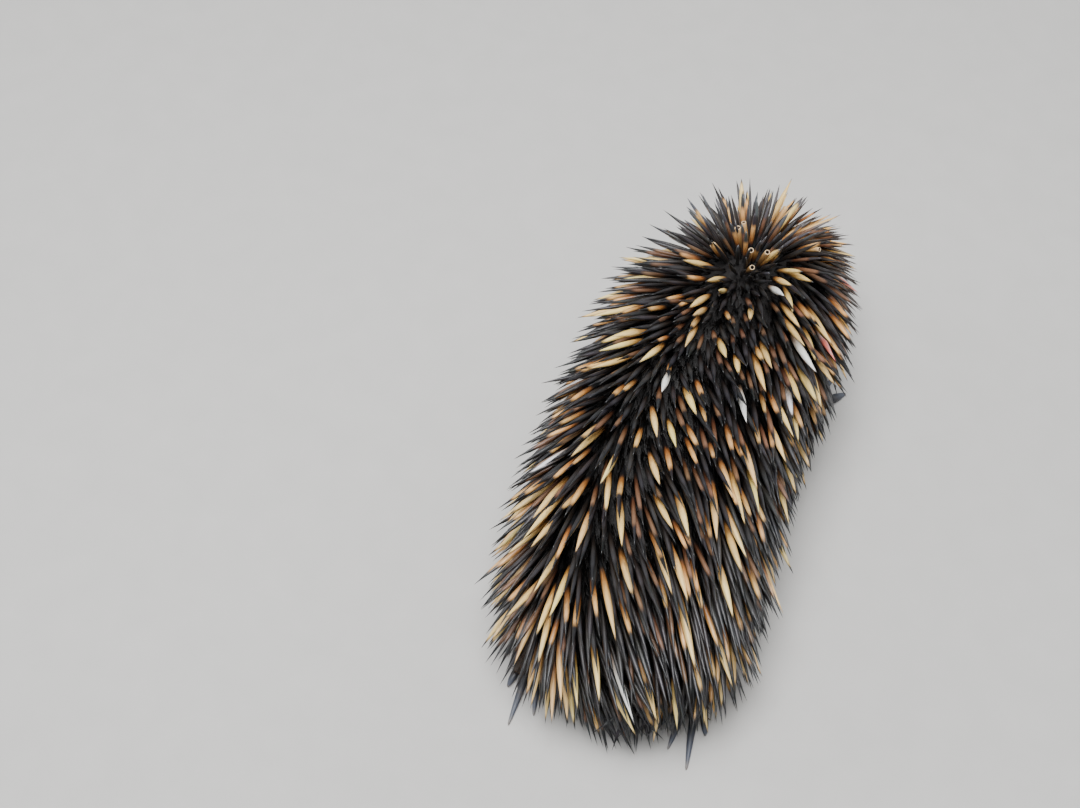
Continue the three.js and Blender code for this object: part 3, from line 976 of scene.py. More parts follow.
# roots holds places, lie, size, sway and spot for each piece, and whatever its material reads
def standOn(name, roots, material, form):
    mesh = bpy.data.meshes.new(name + "Roots")
    places = roots["place"]
    mesh.vertices.add(len(places))
    mesh.vertices.foreach_set("co", places.astype(np.float32).ravel())
    for key, values in roots.items():
        if key != "place":
            storeValues(mesh, key, values)
    piece = addObject(name, mesh)
    modifier = piece.modifiers.new("standing", "NODES")
    modifier.node_group = standingPieces
    wanted = {
        "Sides": form["sides"],
        "Rings": form["rings"],
        "Root width": form["rootWidth"],
        "Skew": math.log(0.5) / math.log(form["fullest"]),
        "Sharpness": form["sharpness"],
        "Seed": form["seed"],
        "Patch": bakeMap["patch"],
        "Material": material,
    }
    for item in standingPieces.interface.items_tree:
        if item.item_type == "SOCKET" and item.name in wanted:
            modifier[item.identifier] = wanted[item.name]
    made = settle(piece)
    for key in ("lie", "size", "sway", "spot"):
        made.attributes.remove(made.attributes[key])
    shadeSmooth(made)
    piece.data.name = name
    print(f"{name}: {len(places)} roots, {sum(len(p.vertices) - 2 for p in made.polygons)} triangles")
    return piece


# Kinds of spine: share of all, girth against the row's own, where the light band starts and ends
# along the spine, and the band's tint. White and painted ones stand only where the photo shows them.
spineKinds = {
    # the dark kind's lighter band is partly its own grey-brown and partly a painted sheen along the
    # spine's middle
    "dark": {"share": 0.515, "girth": 0.96, "band": (0.30, 0.72), "tint": (0.034, 0.031, 0.031)},
    "dull": {"share": 0.20, "girth": 0.98, "band": (0.34, 0.68), "tint": (0.20, 0.108, 0.060)},
    "banded": {"share": 0.145, "girth": 1.1, "band": (0.43, 0.74), "tint": (0.74, 0.42, 0.145)},
    "cream": {"share": 0.14, "girth": 1.36, "band": (0.30, 0.92), "tint": (0.92, 0.60, 0.21)},
    "white": {"share": 0.0, "girth": 1.40, "band": (0.26, 0.95), "tint": (0.95, 0.90, 0.80)},
    "painted": {"share": 0.0, "girth": 1.34, "band": (0.26, 0.95), "tint": (0.95, 0.86, 0.76)},
}
spineForm = {"sides": 7, "rings": 8, "rootWidth": 0.34, "fullest": 0.53, "sharpness": 1.3, "seed": 3}
# Round the whorl the spines are worn blunt
wornForm = {"sides": 8, "rings": 9, "rootWidth": 0.34, "fullest": 0.62, "sharpness": 0.62, "seed": 3}
# the worn spines' dark horn is made lighter: partly worn grey horn, partly a painted highlight on their
# ends seen end on
wornSpines = {"within": 0.012, "reach": 0.024, "girth": 0.84, "length": 0.88, "greyer": 4.2}
spineGrowth = {
    "tries": 34000,
    "seed": 20417,
    "rootDepth": 0.004,
    "lowestTip": 0.003,
    "jitter": 0.062,
    "closest": 0.66,  # how near two spines may come, as a share of their radii
    "crowded": 0.60,  # the spacing at the whorl, where the tips spread apart, against elsewhere
    "crowdReach": 0.022,
    "seenShare": 0.6,  # how far up a spine its middle shows
    "endOnShare": 0.85,  # and the part that shows of one seen end on
    "crowdFrom": 0.012,
    "placedCloser": 0.45,  # how much nearer one placed from the photo may come
    "creamSeen": 0.4,  # how many of the other cream ones stay where the photo shows the coat
    "inView": 0.35,  # how far the skin there faces the camera, 1 being straight at it
}
# The spines that stand out in the photo, by the pixel of their middle
seenSpines = {
    "white": [(777, 296), (747, 408), (795, 404), (666, 385), (801, 352), (621, 687), (550, 465)],
    "painted": [(847, 284), (839, 317), (828, 345)],
    "cream": [
        (691, 332), (721, 352), (738, 369), (757, 314), (821, 369), (689, 400), (652, 352), (625, 262),
        (651, 261), (697, 221), (715, 279), (721, 295), (611, 366), (791, 317), (797, 299), (804, 276),
        (840, 223), (649, 423), (675, 440), (613, 469), (655, 477), (748, 459), (720, 503), (778, 446),
        (621, 520), (667, 521), (588, 445), (756, 489), (542, 498), (583, 537), (525, 543), (550, 567),
        (563, 598), (543, 634), (527, 640), (506, 624), (498, 590), (510, 685), (603, 598), (596, 668),
        (680, 579), (556, 670), (687, 624),
    ],
    "banded": [
        (685, 298), (649, 311), (623, 288), (685, 255), (695, 457), (643, 444), (744, 243), (729, 206),
    ],
}
# The dark ones that point at the camera, by the pixel of their tips
endOnSpines = [
    (741, 271), (760, 273), (742, 279), (758, 280), (774, 264), (773, 271), (722, 283), (733, 288),
    (763, 287), (751, 288), (734, 300), (724, 307), (709, 297), (709, 309), (757, 303), (768, 298),
    (738, 313), (731, 267), (704, 286), (749, 261),
]


def growSpines():
    random = np.random.default_rng(spineGrowth["seed"])
    count = spineGrowth["tries"]
    at = random.uniform(coat["firstRow"], coat["lastRow"], count)
    angle = random.uniform(coat["lowestFlank"], math.pi - coat["lowestFlank"], count)
    low = lowestAngle(at)
    keep = (angle > low) & (angle < math.pi - low)
    at, angle = at[keep], angle[keep]
    names, kinds = list(spineKinds), list(spineKinds.values())
    kind = random.choice(len(kinds), len(at), p=[k["share"] for k in kinds])
    inView = skinNormal(at, angle) @ photoAxes()[0] > spineGrowth["inView"]
    darkened = random.random(len(at)) > spineGrowth["creamSeen"]
    kind[inView & darkened & (kind == names.index("cream"))] = names.index("dark")
    # those seen in the photo come first, so that they keep their places
    asked = [(name, pixels, spineGrowth["seenShare"]) for name, pixels in seenSpines.items()]
    asked.append(("dark", endOnSpines, spineGrowth["endOnShare"]))
    placed = 0
    for name, pixels, share in asked:
        seenRow, seenAngle = rootsSeenAt(pixels, share)
        at, angle = np.append(seenRow, at), np.append(seenAngle, angle)
        kind = np.append(np.full(len(seenRow), names.index(name)), kind)
        placed += len(seenRow)
    girth = np.array([k["girth"] for k in kinds])[kind]
    sizes = spineSizes(at)
    radius = sizes["radius"] * girth * random.uniform(0.86, 1.14, len(at))
    length = sizes["length"] * random.uniform(0.84, 1.12, len(at)) * mix(1, girth, 0.2)
    skinAt, normal = skinPoint(at, angle), skinNormal(at, angle)
    lie = unit(coatLie(skinAt, normal) + random.normal(0, spineGrowth["jitter"], (len(at), 3)))
    foot = skinAt - lie * spineGrowth["rootDepth"]
    tip = skinAt + lie * length[:, None]
    whorlAway = np.linalg.norm(skinAt - whorl, axis=1)
    nearWhorl = 1 - smooth((whorlAway - spineGrowth["crowdFrom"]) / spineGrowth["crowdReach"])
    spacing = sizes["spacing"] * mix(1, spineGrowth["crowded"], nearWhorl)
    closer = np.where(np.arange(len(at)) < placed, spineGrowth["placedCloser"], 1)
    chosen = []
    kept = np.zeros((0, 3))
    for i in range(len(at)):
        if tip[i, 2] < spineGrowth["lowestTip"]:
            continue
        if len(chosen):
            away = np.linalg.norm(kept - skinAt[i], axis=1)
            if away.min() < spacing[i] * closer[i]:
                continue
            near = np.array(chosen)[away < sizes["length"][i] * 1.6]
            if len(near):
                apart = lengthsApart(foot[i], tip[i], foot[near], tip[near])
                touching = (radius[near] + radius[i]) * spineGrowth["closest"]
                if (apart < touching * closer[i]).any():
                    continue
        chosen.append(i)
        kept = np.vstack([kept, skinAt[i]])
    grown = {"at": at, "angle": angle, "skin": skinAt, "lie": lie, "radius": radius, "length": length}
    grown = {key: values[chosen] for key, values in (grown | {"kind": kind}).items()}
    unworn = smooth((whorlAway[chosen] - wornSpines["within"]) / wornSpines["reach"])
    grown["worn"] = random.random(len(chosen)) > unworn
    grown["paint"] = (grown["kind"] == names.index("painted")) * 1.0
    return grown


# The least distance from one straight length to each of several
def lengthsApart(footA, tipA, footB, tipB):
    u, v, w = tipA - footA, tipB - footB, footA - footB
    uu, uv, vv = np.dot(u, u), v @ u, np.sum(v * v, 1)
    uw, vw = w @ u, np.sum(v * w, 1)
    flat = np.maximum(uu * vv - uv * uv, 1e-15)
    s = np.clip((uv * vw - vv * uw) / flat, 0, 1)
    t = np.clip((uv * s + vw) / vv, 0, 1)
    s = np.clip((uv * t - uw) / uu, 0, 1)
    return np.linalg.norm(w + u * s[:, None] - v * t[:, None], axis=1)


# What the horn's tints are multiplied by at the root (painted shade), below the band and towards its end
# (paler partly as a painted highlight), how pale that may get, and the paint
hornLook = {
    "rootShade": (0.3, 0.3, 0.3),
    "browned": (0.42, 0.27, 0.18),
    "paler": (1.04, 1.12, 1.3),
    "palest": (0.93, 0.93, 0.90),
    "paint": (0.78, 0.20, 0.16),
}


# Horn: dark, with a light band that fades in from the root and stops sharply before the tip
def hornMaterial():
    g = Shading("horn")
    along = g.attribute("along")
    around = g.attribute("around")
    span = g.node("ShaderNodeSeparateXYZ", {}, {0: g.attribute("span", "Vector")}, "X")
    seed = span["Z"]
    tint = g.attribute("tint", "Vector")
    dark = g.attribute("dark", "Vector")
    across = {"X": around * 2.0 + seed * 31, "Y": along * 2.2, "Z": seed * 17}
    where = g.node("ShaderNodeCombineXYZ", {}, across)
    streak = g.noise(where, 5.0, 4.0)
    fine = g.noise(g.vector("MULTIPLY", where, (9.0, 1.0, 1.0)), 6.0, 2.0)
    wobble = (streak - 0.5) * 0.14
    rise = g.step(along + wobble, span["X"] - 0.04, span["X"] + 0.28)
    warm = g.step(along + wobble, span["X"] - 0.14, span["X"] + 0.05)
    fall = 1 - g.step(along + wobble * 0.8, span["Y"] - 0.06, span["Y"] + 0.05)
    # painted shade: the dark horn is darker towards the root, where the spines crowd over each other
    dark = g.colour(g.step(along, 0.1, 0.8), g.times(dark, hornLook["rootShade"]), dark)
    browned = g.times(tint, hornLook["browned"])
    # paler towards the tip: partly the horn's own paling, partly a painted highlight along the band
    paler = g.vector("MINIMUM", g.vector("MULTIPLY", tint, hornLook["paler"]), hornLook["palest"])
    tint = g.colour(g.step(along, 0.42, 0.78), tint, paler)
    colour = g.colour(warm * fall, dark, browned)
    colour = g.colour(rise * fall, colour, tint)
    # paint lies in a ragged stripe along one side
    stripe = g.step(streak * 0.7 + fine * 0.3 - around * 0.25, 0.22, 0.42)
    painted = g.attribute("paint") * stripe * g.step(along, 0.42, 0.60)
    colour = g.colour(painted, colour, hornLook["paint"])
    colour = g.times(colour, g.step(streak, 0.25, 0.8) * 0.26 + fine * 0.16 + 0.76)
    bump = g.bump(streak * 0.5 + fine, 0.25, 0.0003)
    return g.finish(Base_Color=colour, Roughness=0.29 + fine * 0.15, Normal=bump, Specular_IOR_Level=0.62)


horn = hornMaterial()


# Towards the head the spines turn amber and thinner
spineTints = {
    "varied": 0.035,
    "lightest": 0.95,
    "dark": (0.0110, 0.0113, 0.0128),
    "amber": (0.92, 0.66, 0.36),
    "amberDark": (0.050, 0.022, 0.009),
    "amberRow": 7.9,
    "amberRows": 1.5,
    "amberGirth": 0.76,
    "sway": 0.035,
}


def spinePieces(spines):
    random = np.random.default_rng(spineGrowth["seed"] + 1)
    kinds = list(spineKinds.values())
    count = len(spines["at"])
    kind = spines["kind"]
    varied = spineTints["varied"]
    band = np.array([k["band"] for k in kinds])[kind] + random.normal(0, varied, (count, 2))
    tint = np.array([k["tint"] for k in kinds])[kind] * random.uniform(0.8, 1.12, (count, 1))
    toHead = smooth((spines["at"] - spineTints["amberRow"]) / spineTints["amberRows"])
    amber = toHead[:, None] * random.uniform(0.4, 1, (count, 1))
    tint = tint * mix(np.ones(3), np.array(spineTints["amber"]), amber)
    tint = np.minimum(tint * random.normal(1, varied, (count, 3)), spineTints["lightest"])
    dark = np.array(spineTints["dark"]) * random.uniform(0.5, 2.1, (count, 1))
    dark = mix(dark, np.array(spineTints["amberDark"]), amber * 0.6)
    dark = dark * random.normal(1, 0.05, (count, 3))
    span = np.stack([band[:, 0], band[:, 1], random.random(count)], -1)
    low, high = np.array(cadLow), np.array(cadHigh)
    tips = spines["skin"] + spines["lie"] * spines["length"][:, None]
    sway = random.normal(0, spineTints["sway"], (count, 3)) * spines["length"][:, None]
    sway -= spines["lie"] * dot(sway, spines["lie"])
    over = np.maximum(tips + sway - high, 0).sum(1) + np.maximum(low - tips - sway, 0).sum(1)
    worn = spines["worn"]
    length = spines["length"] - over + spineGrowth["rootDepth"]
    length = length * np.where(worn, wornSpines["length"], 1)
    girth = spines["radius"] * np.where(worn, wornSpines["girth"], 1)
    girth = girth * mix(1, spineTints["amberGirth"], amber[:, 0])
    # partly worn grey horn, partly a painted highlight on the ends seen end on
    dark = dark * np.where(worn, wornSpines["greyer"], 1)[:, None]
    everything = {
        "place": spines["skin"] - spines["lie"] * spineGrowth["rootDepth"],
        "lie": spines["lie"],
        "size": np.stack([girth, girth, length], -1),
        "sway": sway,
        "spot": bodyPatch(spines["at"], spines["angle"]),
        "span": span,
        "tint": tint,
        "dark": dark,
        "paint": spines["paint"],
    }
    made = []

    def stand(name, mine, form):
        roots = {key: values[mine] for key, values in everything.items()}
        made.append(standOn("spines" + name, roots, horn, form))

    start = 0.0
    for node, end in nodeEnds.items():
        mine = (spines["at"] >= start) & (spines["at"] < end) & ~worn
        start = end
        stand(node.capitalize(), mine, spineForm)
        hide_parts(node)
    stand("Worn", worn, wornForm)
    return made


spines = growSpines()
print("spines chosen:", len(spines["at"]))
spineParts = spinePieces(spines)


# Spines broken off short near the whorl, each a hollow stub
brokenSpines = {
    "seen": [  # the photo's pixels of their broken ends
        (714, 246), (748, 220), (736, 228), (750, 252), (768, 254), (750, 266), (785, 212),
        (795, 215), (830, 243), (817, 250),
    ],
    "length": 0.027,
    "radius": 0.0021,
    "bore": 0.62,  # share of the radius that is hollow
    "jitter": 0.04,
    "seed": 88,
}


def stubRings(foot, lie, length, radius, around=12):
    # distance along the stub and radius, both as shares, up the wall, over its edge and down the bore
    bore = brokenSpines["bore"]
    outline = [
        (0.0, 0.4), (0.2, 0.6), (0.45, 0.86), (0.7, 1.0), (0.88, 0.98), (0.98, 0.93), (1.0, 0.88),
        (1.0, bore + 0.1), (0.985, bore), (0.9, bore * 0.95), (0.86, 0.1),
    ]
    side = unit(np.cross(lie, (0.3, 0.5, 0.8)))
    other = np.cross(lie, side)
    turn = np.arange(around) / around * math.tau
    rim = np.cos(turn)[:, None] * side + np.sin(turn)[:, None] * other
    return [foot + lie * (length * up) + rim * (radius * wide) for up, wide in outline]


def brokenStubs():
    random = np.random.default_rng(brokenSpines["seed"])
    parts, tone, patch = [], [], []
    share = (brokenSpines["length"] - spineGrowth["rootDepth"]) / spineSizes(row["shoulders"])["length"]
    for at, angle in zip(*rootsSeenAt(brokenSpines["seen"], share)):
        origin, normal = skinPoint(at, angle), skinNormal(at, angle)
        lie = unit(coatLie(origin[None], normal[None])[0] + random.normal(0, brokenSpines["jitter"], 3))
        length = brokenSpines["length"] * random.uniform(0.94, 1.1)
        radius = brokenSpines["radius"] * random.uniform(0.85, 1.15)
        rings = stubRings(origin - lie * spineGrowth["rootDepth"], lie, length, radius)
        parts.append(loftMesh(rings))
        levels = np.repeat(np.arange(len(rings)), len(rings[0])).tolist() + [0, len(rings) - 1]
        tone += levels
        spot = bodyPatch(at, angle)[:2]
        patch += [spot + (0, (level / len(rings) - 0.5) * bakeMap["patch"]) for level in levels]
    piece = meshObject("spinesBroken", *joinMeshes(parts))
    storeValues(piece.data, "level", np.array(tone, float) / 10)
    unwrap = piece.data.uv_layers.new(name="OFBake")
    for loop in piece.data.loops:
        unwrap.data[loop.index].uv = patch[loop.vertex_index]
    shadeSmooth(piece.data)
    return piece


def stubMaterial():
    g = Shading("brokenHorn")
    # the ramp runs up the wall, over the broken edge and down the bore; near black down the bore is
    # painted shade in the hollow
    ramp = g.node(
        "ShaderNodeValToRGB",
        {"stops": [
            (0.0, (0.012, 0.009, 0.007)), (0.15, (0.12, 0.055, 0.02)), (0.32, (0.52, 0.29, 0.10)),
            (0.58, (0.74, 0.52, 0.28)), (0.70, (0.66, 0.52, 0.35)), (0.80, (0.16, 0.10, 0.06)),
            (0.86, (0.02, 0.012, 0.008)), (1.0, (0.003, 0.002, 0.002)),
        ]},
        {"Fac": g.attribute("level")},
        "Color",
    )
    grime = g.noise(g.object(), 900.0, 4.0)
    colour = g.colour(g.step(grime, 0.52, 0.75) * 0.5, ramp, (0.10, 0.06, 0.035))
    return g.finish(Base_Color=colour, Roughness=0.42, Normal=g.bump(grime, 0.3, 0.0002))


stubs = brokenStubs()
stubs.data.materials.append(stubMaterial())


# Hair
def sampleSkin(count, random):
    mesh = skin.data
    mesh.calc_loop_triangles()
    corners = triples(mesh.loop_triangles, "vertices", int)
    points = triples(mesh.vertices, "co")
    normals = triples(mesh.vertex_normals, "vector")
    a, b, c = (points[corners[:, k]] for k in range(3))
    area = np.linalg.norm(np.cross(b - a, c - a), axis=1)
    pick = random.choice(len(area), count, p=area / area.sum())
    r, t = np.sqrt(random.random(count)), random.random(count)
    shares = np.stack([1 - r, r * (1 - t), r * t], -1)[..., None]
    place = np.sum(points[corners[pick]] * shares, 1)
    normal = unit(np.sum(normals[corners[pick]] * shares, 1))
    return place, normal


# Each kind: tufts on a square metre, blades in a tuft, length, half width, half thickness, how far
# each tuft spreads, how unevenly blades lie, and how many take the second tint
hairKinds = {
    "undercoat": {
        "density": 56000, "blades": 4, "length": 0.0145, "wide": 0.00046, "thin": 0.00028,
        "spread": 0.0014, "stray": 0.13,
        # the first tint is the dark underfur, made near black partly as painted shade in the gaps between
        # the spines
        "tints": ((0.0020, 0.0017, 0.0016), (0.018, 0.010, 0.006)), "second": 0.08,
    },
    "belly": {
        "density": 70000, "blades": 3, "length": 0.0125, "wide": 0.00040, "thin": 0.00022,
        "spread": 0.0013, "stray": 0.17,
        "tints": ((0.032, 0.021, 0.014), (0.17, 0.10, 0.058)), "second": 0.34,
    },
    "leg": {
        "density": 150000, "blades": 3, "length": 0.0095, "wide": 0.00034, "thin": 0.00018,
        "spread": 0.0009, "stray": 0.17,
        "tints": ((0.028, 0.019, 0.013), (0.16, 0.094, 0.052)), "second": 0.36,
    },
    "face": {
        "density": 420000, "blades": 2, "length": 0.0072, "wide": 0.00024, "thin": 0.00014,
        "spread": 0.0005, "stray": 0.15,
        "tints": ((0.034, 0.021, 0.014), (0.28, 0.165, 0.090)), "second": 0.48,
    },
    "bristle": {
        "density": 9000, "blades": 2, "length": 0.024, "wide": 0.00042, "thin": 0.00034,
        "spread": 0.0012, "stray": 0.16,
        "tints": ((0.24, 0.105, 0.026), (0.50, 0.27, 0.085)), "second": 0.5,
    },
}
hairForm = {"sides": 3, "rings": 3, "rootWidth": 0.9, "fullest": 0.3, "sharpness": 1.0, "seed": 5}
hairGrowth = {
    "seed": 31,
    "sunk": 0.0008,
    "lowestTip": 0.0006,
    "onBody": 0.003,  # how far from the body's own surface its hair still grows
    "spinedEdge": 0.12,  # radians past the lowest spines
    "undercoatSplit": 5.4,  # the row between its two pieces
    "undercoatLean": 0.14,
    "atWhorl": (0.4, 0.06),  # its length there, and how far off it is whole
    "spineLength": 0.046,  # of the spines that it is whole under
    "napeRows": (8.7, 10.6),
    "offLegs": 0.012,
    "offEyes": 0.0072,
    "roundEars": 0.009,
}


# Tufts of one kind at the given places. Returns what standOn takes.
def hairRoots(kind, place, normal, lie, length, spot, random):
    hair = hairKinds[kind]
    blades = hair["blades"]
    place, normal, lie = (np.repeat(v, blades, 0) for v in (place, normal, lie))
    length, spot = np.repeat(length, blades), np.repeat(spot, blades, 0)
    count = len(place)
    offset = random.normal(0, hair["spread"] * 0.5, (count, 3))
    offset -= normal * dot(offset, normal)
    place = place + offset - normal * hairGrowth["sunk"]
    lie = unit(lie + random.normal(0, hair["stray"], (count, 3)))
    length = length * random.uniform(0.72, 1.15, count)
    drop = (place + lie * length[:, None])[:, 2]
    tooLow = drop < hairGrowth["lowestTip"]
    lie[tooLow] = unit(lie[tooLow] * (1, 1, 0.15) + normal[tooLow] * 0.2)
    drop = (place + lie * length[:, None])[:, 2]
    sway = random.normal(0, 0.10, (count, 3)) * length[:, None]
    sway[:, 2] = np.abs(sway[:, 2]) * np.where(drop < 0.012, 1, -1)
    kept = (drop > hairGrowth["lowestTip"]) & (place[:, 2] > 0.001)
    first, second = (np.array(t) for t in hair["tints"])
    share = (random.random(count) < hair["second"]) * random.uniform(0.4, 1, count)
    tint = mix(first, second, share[:, None]) * random.uniform(0.7, 1.3, (count, 1))
    girth = random.uniform(0.8, 1.2, count)
    size = np.stack([girth * hair["wide"], girth * hair["thin"], length], -1)
    roots = {"place": place, "lie": lie, "size": size, "sway": sway, "spot": spot, "tint": tint}
    return {key: values[kept] for key, values in roots.items()}


def hairMaterial():
    g = Shading("bristlyHair")
    along = g.attribute("along")
    tint = g.attribute("tint", "Vector")
    clump = g.noise(g.object(), 320.0, 2.0)
    colour = g.colour(g.step(along, 0.0, 0.6), g.times(tint, (0.45, 0.42, 0.40)), tint)
    colour = g.times(colour, clump * 0.5 + 0.75)
    return g.finish(Base_Color=colour, Roughness=0.5 + clump * 0.15, Specular_IOR_Level=0.07)


hairStrand = hairMaterial()


def nearestLeg(points):
    best = np.full(len(points), 9.0)
    owner = np.zeros(len(points), int)
    for i, plan in enumerate(limbPlans.values()):
        foot = plan["sole"] + plan["heading"] * plan["limb"]["pad"][1] * 0.8
        path = np.vstack([bezier(*plan["path"], np.linspace(0, 1, 12)), foot[None]])
        distance = np.linalg.norm(points[:, None] - path, axis=2).min(1)
        owner[distance < best] = i
        best = np.minimum(best, distance)
    return owner, best


def hairPieces():
    random = np.random.default_rng(hairGrowth["seed"])
    area = sum(face.area for face in skin.data.polygons)
    made = []

    def grow(name, kind, choose, lieOf, lengthOf):
        count = int(area * hairKinds[kind]["density"])
        place, normal = sampleSkin(count, random)
        at, angle, height = bodyPlace(place)
        angle = np.where(angle < -math.pi / 2, angle + math.tau, angle)
        owner, legAway = nearestLeg(place)
        skinState = {"at": at, "angle": angle, "height": height, "owner": owner, "legAway": legAway}
        skinState.update(place=place, normal=normal, low=lowestAngle(at))
        fromEyes = [np.linalg.norm(place - eyeCentre(side), axis=1) for side in sides.values()]
        fromEars = [np.linalg.norm(place - earCentre(side), axis=1) for side in sides.values()]
        skinState.update(eyeAway=np.stack(fromEyes).min(0), earAway=np.stack(fromEars).min(0))
        keep = choose(skinState)
        skinState = {key: values[keep] for key, values in skinState.items()}
        place, normal = skinState["place"], skinState["normal"]
        lie = lieOf(skinState)
        length = hairKinds[kind]["length"] * lengthOf(skinState)
        spot = bodyPatch(skinState["at"], skinState["angle"])
        roots = hairRoots(kind, place, normal, lie, length, spot, random)
        piece = standOn(name, roots, hairStrand, hairForm)
        made.append(piece)

    def onBody(s):
        return s["height"] < hairGrowth["onBody"]

    def spined(s):
        edge = s["low"] - hairGrowth["spinedEdge"]
        return (s["angle"] > edge) & (s["angle"] < math.pi - edge) & onBody(s)

    # shorter where it stands up
    def undercoatLength(s):
        whorlAway = np.linalg.norm(s["place"] - whorl, axis=1)
        least, reach = hairGrowth["atWhorl"]
        share = spineSizes(s["at"])["length"] / hairGrowth["spineLength"]
        return share * mix(least, 1, smooth(whorlAway / reach))

    def laidBack(s, lift, down):
        _, forward, _, _ = frameAt(s["at"])
        flow = -forward + np.array((0, 0, -1.0)) * down
        flow = unit(flow - s["normal"] * dot(flow, s["normal"]))
        return unit(flow + s["normal"] * lift)

    split = hairGrowth["undercoatSplit"]
    # the face's hair stands up round the ears
    def nearEars(s):
        return smooth(1.6 - s["earAway"] / hairGrowth["roundEars"])

    for name, first, last in (("Rear", 0.3, split), ("Front", split, row["brow"] + 0.2)):
        grow(
            "undercoat" + name,
            "undercoat",
            lambda s: spined(s) & (s["at"] >= first) & (s["at"] < last),
            lambda s: coatLie(s["place"], s["normal"], hairGrowth["undercoatLean"]),
            undercoatLength,
        )

    # face and belly hair fade into each other over the neck
    def towardsFace(s):
        return random.random(len(s["at"])) < smooth((s["at"] - row["neck"] + 0.9) / 1.4)

    grow(
        "bellyHair",
        "belly",
        lambda s: ~spined(s) & onBody(s) & ~towardsFace(s) & (s["legAway"] > hairGrowth["offLegs"]),
        lambda s: laidBack(s, 0.42, 0.25),
        lambda s: 0.75 + 0.35 * smooth((s["angle"] + 1.2) / 0.5),
    )
    napeFirst, napeLast = hairGrowth["napeRows"]
    grow(
        "napeBristles",
        "bristle",
        lambda s: spined(s) & (s["at"] > napeFirst) & (s["at"] < napeLast),
        lambda s: coatLie(s["place"], s["normal"], -0.25),
        lambda s: np.ones(len(s["at"])),
    )
    for kind, owners in (("Fore", (0, 1)), ("Hind", (2, 3))):
        grow(
            "legHair" + kind,
            "leg",
            lambda s: (~onBody(s)) & np.isin(s["owner"], owners) & (s["normal"][:, 2] > -0.75),
            lambda s: laidBack(s, 0.45, 1.6),
            lambda s: 0.45 + 0.65 * smooth((s["place"][:, 2] - 0.006) / 0.03),
        )
    grow(
        "faceHair",
        "face",
        lambda s: ~(spined(s) & (s["at"] < coat["lastRow"]))
        & onBody(s)
        & towardsFace(s)
        & (s["eyeAway"] > hairGrowth["offEyes"])
        & (random.random(len(s["at"])) > smooth((s["at"] - row["face"] - 0.1) / 0.9)),
        lambda s: laidBack(s, 0.36 + 0.8 * nearEars(s)[:, None], 0.1),
        lambda s: 0.55 + 1.25 * smooth((row["face"] - s["at"]) / 2.4),
    )
    return made


hairParts = hairPieces()


# Claws: worn horn, rooted in the toes
claws = {
    "rootDepth": 0.0016,
    "rings": 20,
    "around": 14,
    "lowest": 0.0013,
    "clearance": 0.0004,
    "ridge": 0.012,  # of the radius
    "ridges": 60,  # radians along the claw
    "hollow": 0.45,  # how far the underside is drawn up
}


def clawMesh(plan, i):
    limb = plan["limb"]
    line = toeLine(plan, i)
    base = np.array((line["toe"][0], line["toe"][1], limb["toeRadius"]))
    root = np.array((line["from"][0], line["from"][1], limb["toeRadius"] + 0.0012))
    way = unit(base - root)
    start = base + way * 0.0004
    length = limb["claws"][i]
    bend = start + way * length * 0.55
    point = line["toe"] + line["way"] * length
    point[2] = claws["lowest"]
    t = np.linspace(0, 1, claws["rings"])
    middles = np.vstack([(start - way * claws["rootDepth"])[None], bezier(start, bend, point, t)])
    t = np.concatenate([[0], t])
    ridged = 1 + claws["ridge"] * np.sin(t * claws["ridges"])
    wide = limb["clawWidth"] * mix(1, 0.22, t**1.6) * ridged
    tall = limb["clawWidth"] * mix(0.78, 0.24, t) * ridged
    tip = np.sqrt(np.clip(1 - ((t - 0.94) / 0.062).clip(0, 1) ** 2, 0.03, 1))
    across = np.cross((0, 0, 1), line["way"])
    rings = tubeRings(middles, across, wide * tip, tall * tip, claws["around"])
    # the underside is flat and a little hollow, as a digging claw's is
    up = rings - middles[:, None]
    under = np.minimum(up[..., 2], 0)
    rings[..., 2] -= under * claws["hollow"]
    rings[..., 2] = np.maximum(rings[..., 2], claws["clearance"])
    return loftMesh(rings), t


def clawMaterial():
    g = Shading("clawHorn")
    along = g.attribute("along")
    where = g.object()
    cloud = g.noise(where, 160.0, 5.0)
    scratch = g.noise(g.vector("MULTIPLY", where, (1.0, 0.18, 1.0)), 1400.0, 3.0)
    colour = g.colour(g.step(along, 0.0, 0.75), (0.020, 0.021, 0.026), (0.075, 0.086, 0.115))
    colour = g.colour(g.step(along, 0.72, 1.0) * 0.7, colour, (0.24, 0.215, 0.19))
    colour = g.colour(g.step(cloud, 0.5, 0.8) * 0.35, colour, (0.14, 0.115, 0.09))
    bump = g.bump(scratch, 0.35, 0.0002)
    return g.finish(Base_Color=colour, Roughness=0.36 + cloud * 0.2, Normal=bump)


def clawPieces():
    horned = clawMaterial()
    made = []
    for (kind, side), plan in limbPlans.items():
        for i in range(len(plan["limb"]["claws"])):
            (points, faces), t = clawMesh(plan, i)
            along = {"along": np.concatenate([np.repeat(t, claws["around"]), [0, 1]])}
            name = f"claw{kind.capitalize()}{side}{i + 1}"
            node = f"{kind}_claw_{side.lower()}_{i + 1}"
            made.append(finishedPiece(name, points, faces, along, horned, node))
    return made


clawParts = clawPieces()
print("claws:", len(clawParts))

# Eyes and ears
def eyeMaterial():
    g = Shading("wetEye")
    front = g.attribute("front")
    fleck = g.noise(g.object(), 1800.0, 4.0)
    iris = g.colour(fleck, (0.016, 0.008, 0.004), (0.060, 0.028, 0.012))
    colour = g.colour(g.step(front, 0.80, 0.86), (0.02, 0.014, 0.012), iris)
    colour = g.colour(g.step(front, 0.925, 0.945), colour, (0.001, 0.001, 0.001))
    return g.finish(Base_Color=colour, Roughness=0.12, Coat_Weight=1.0, Coat_Roughness=0.02)


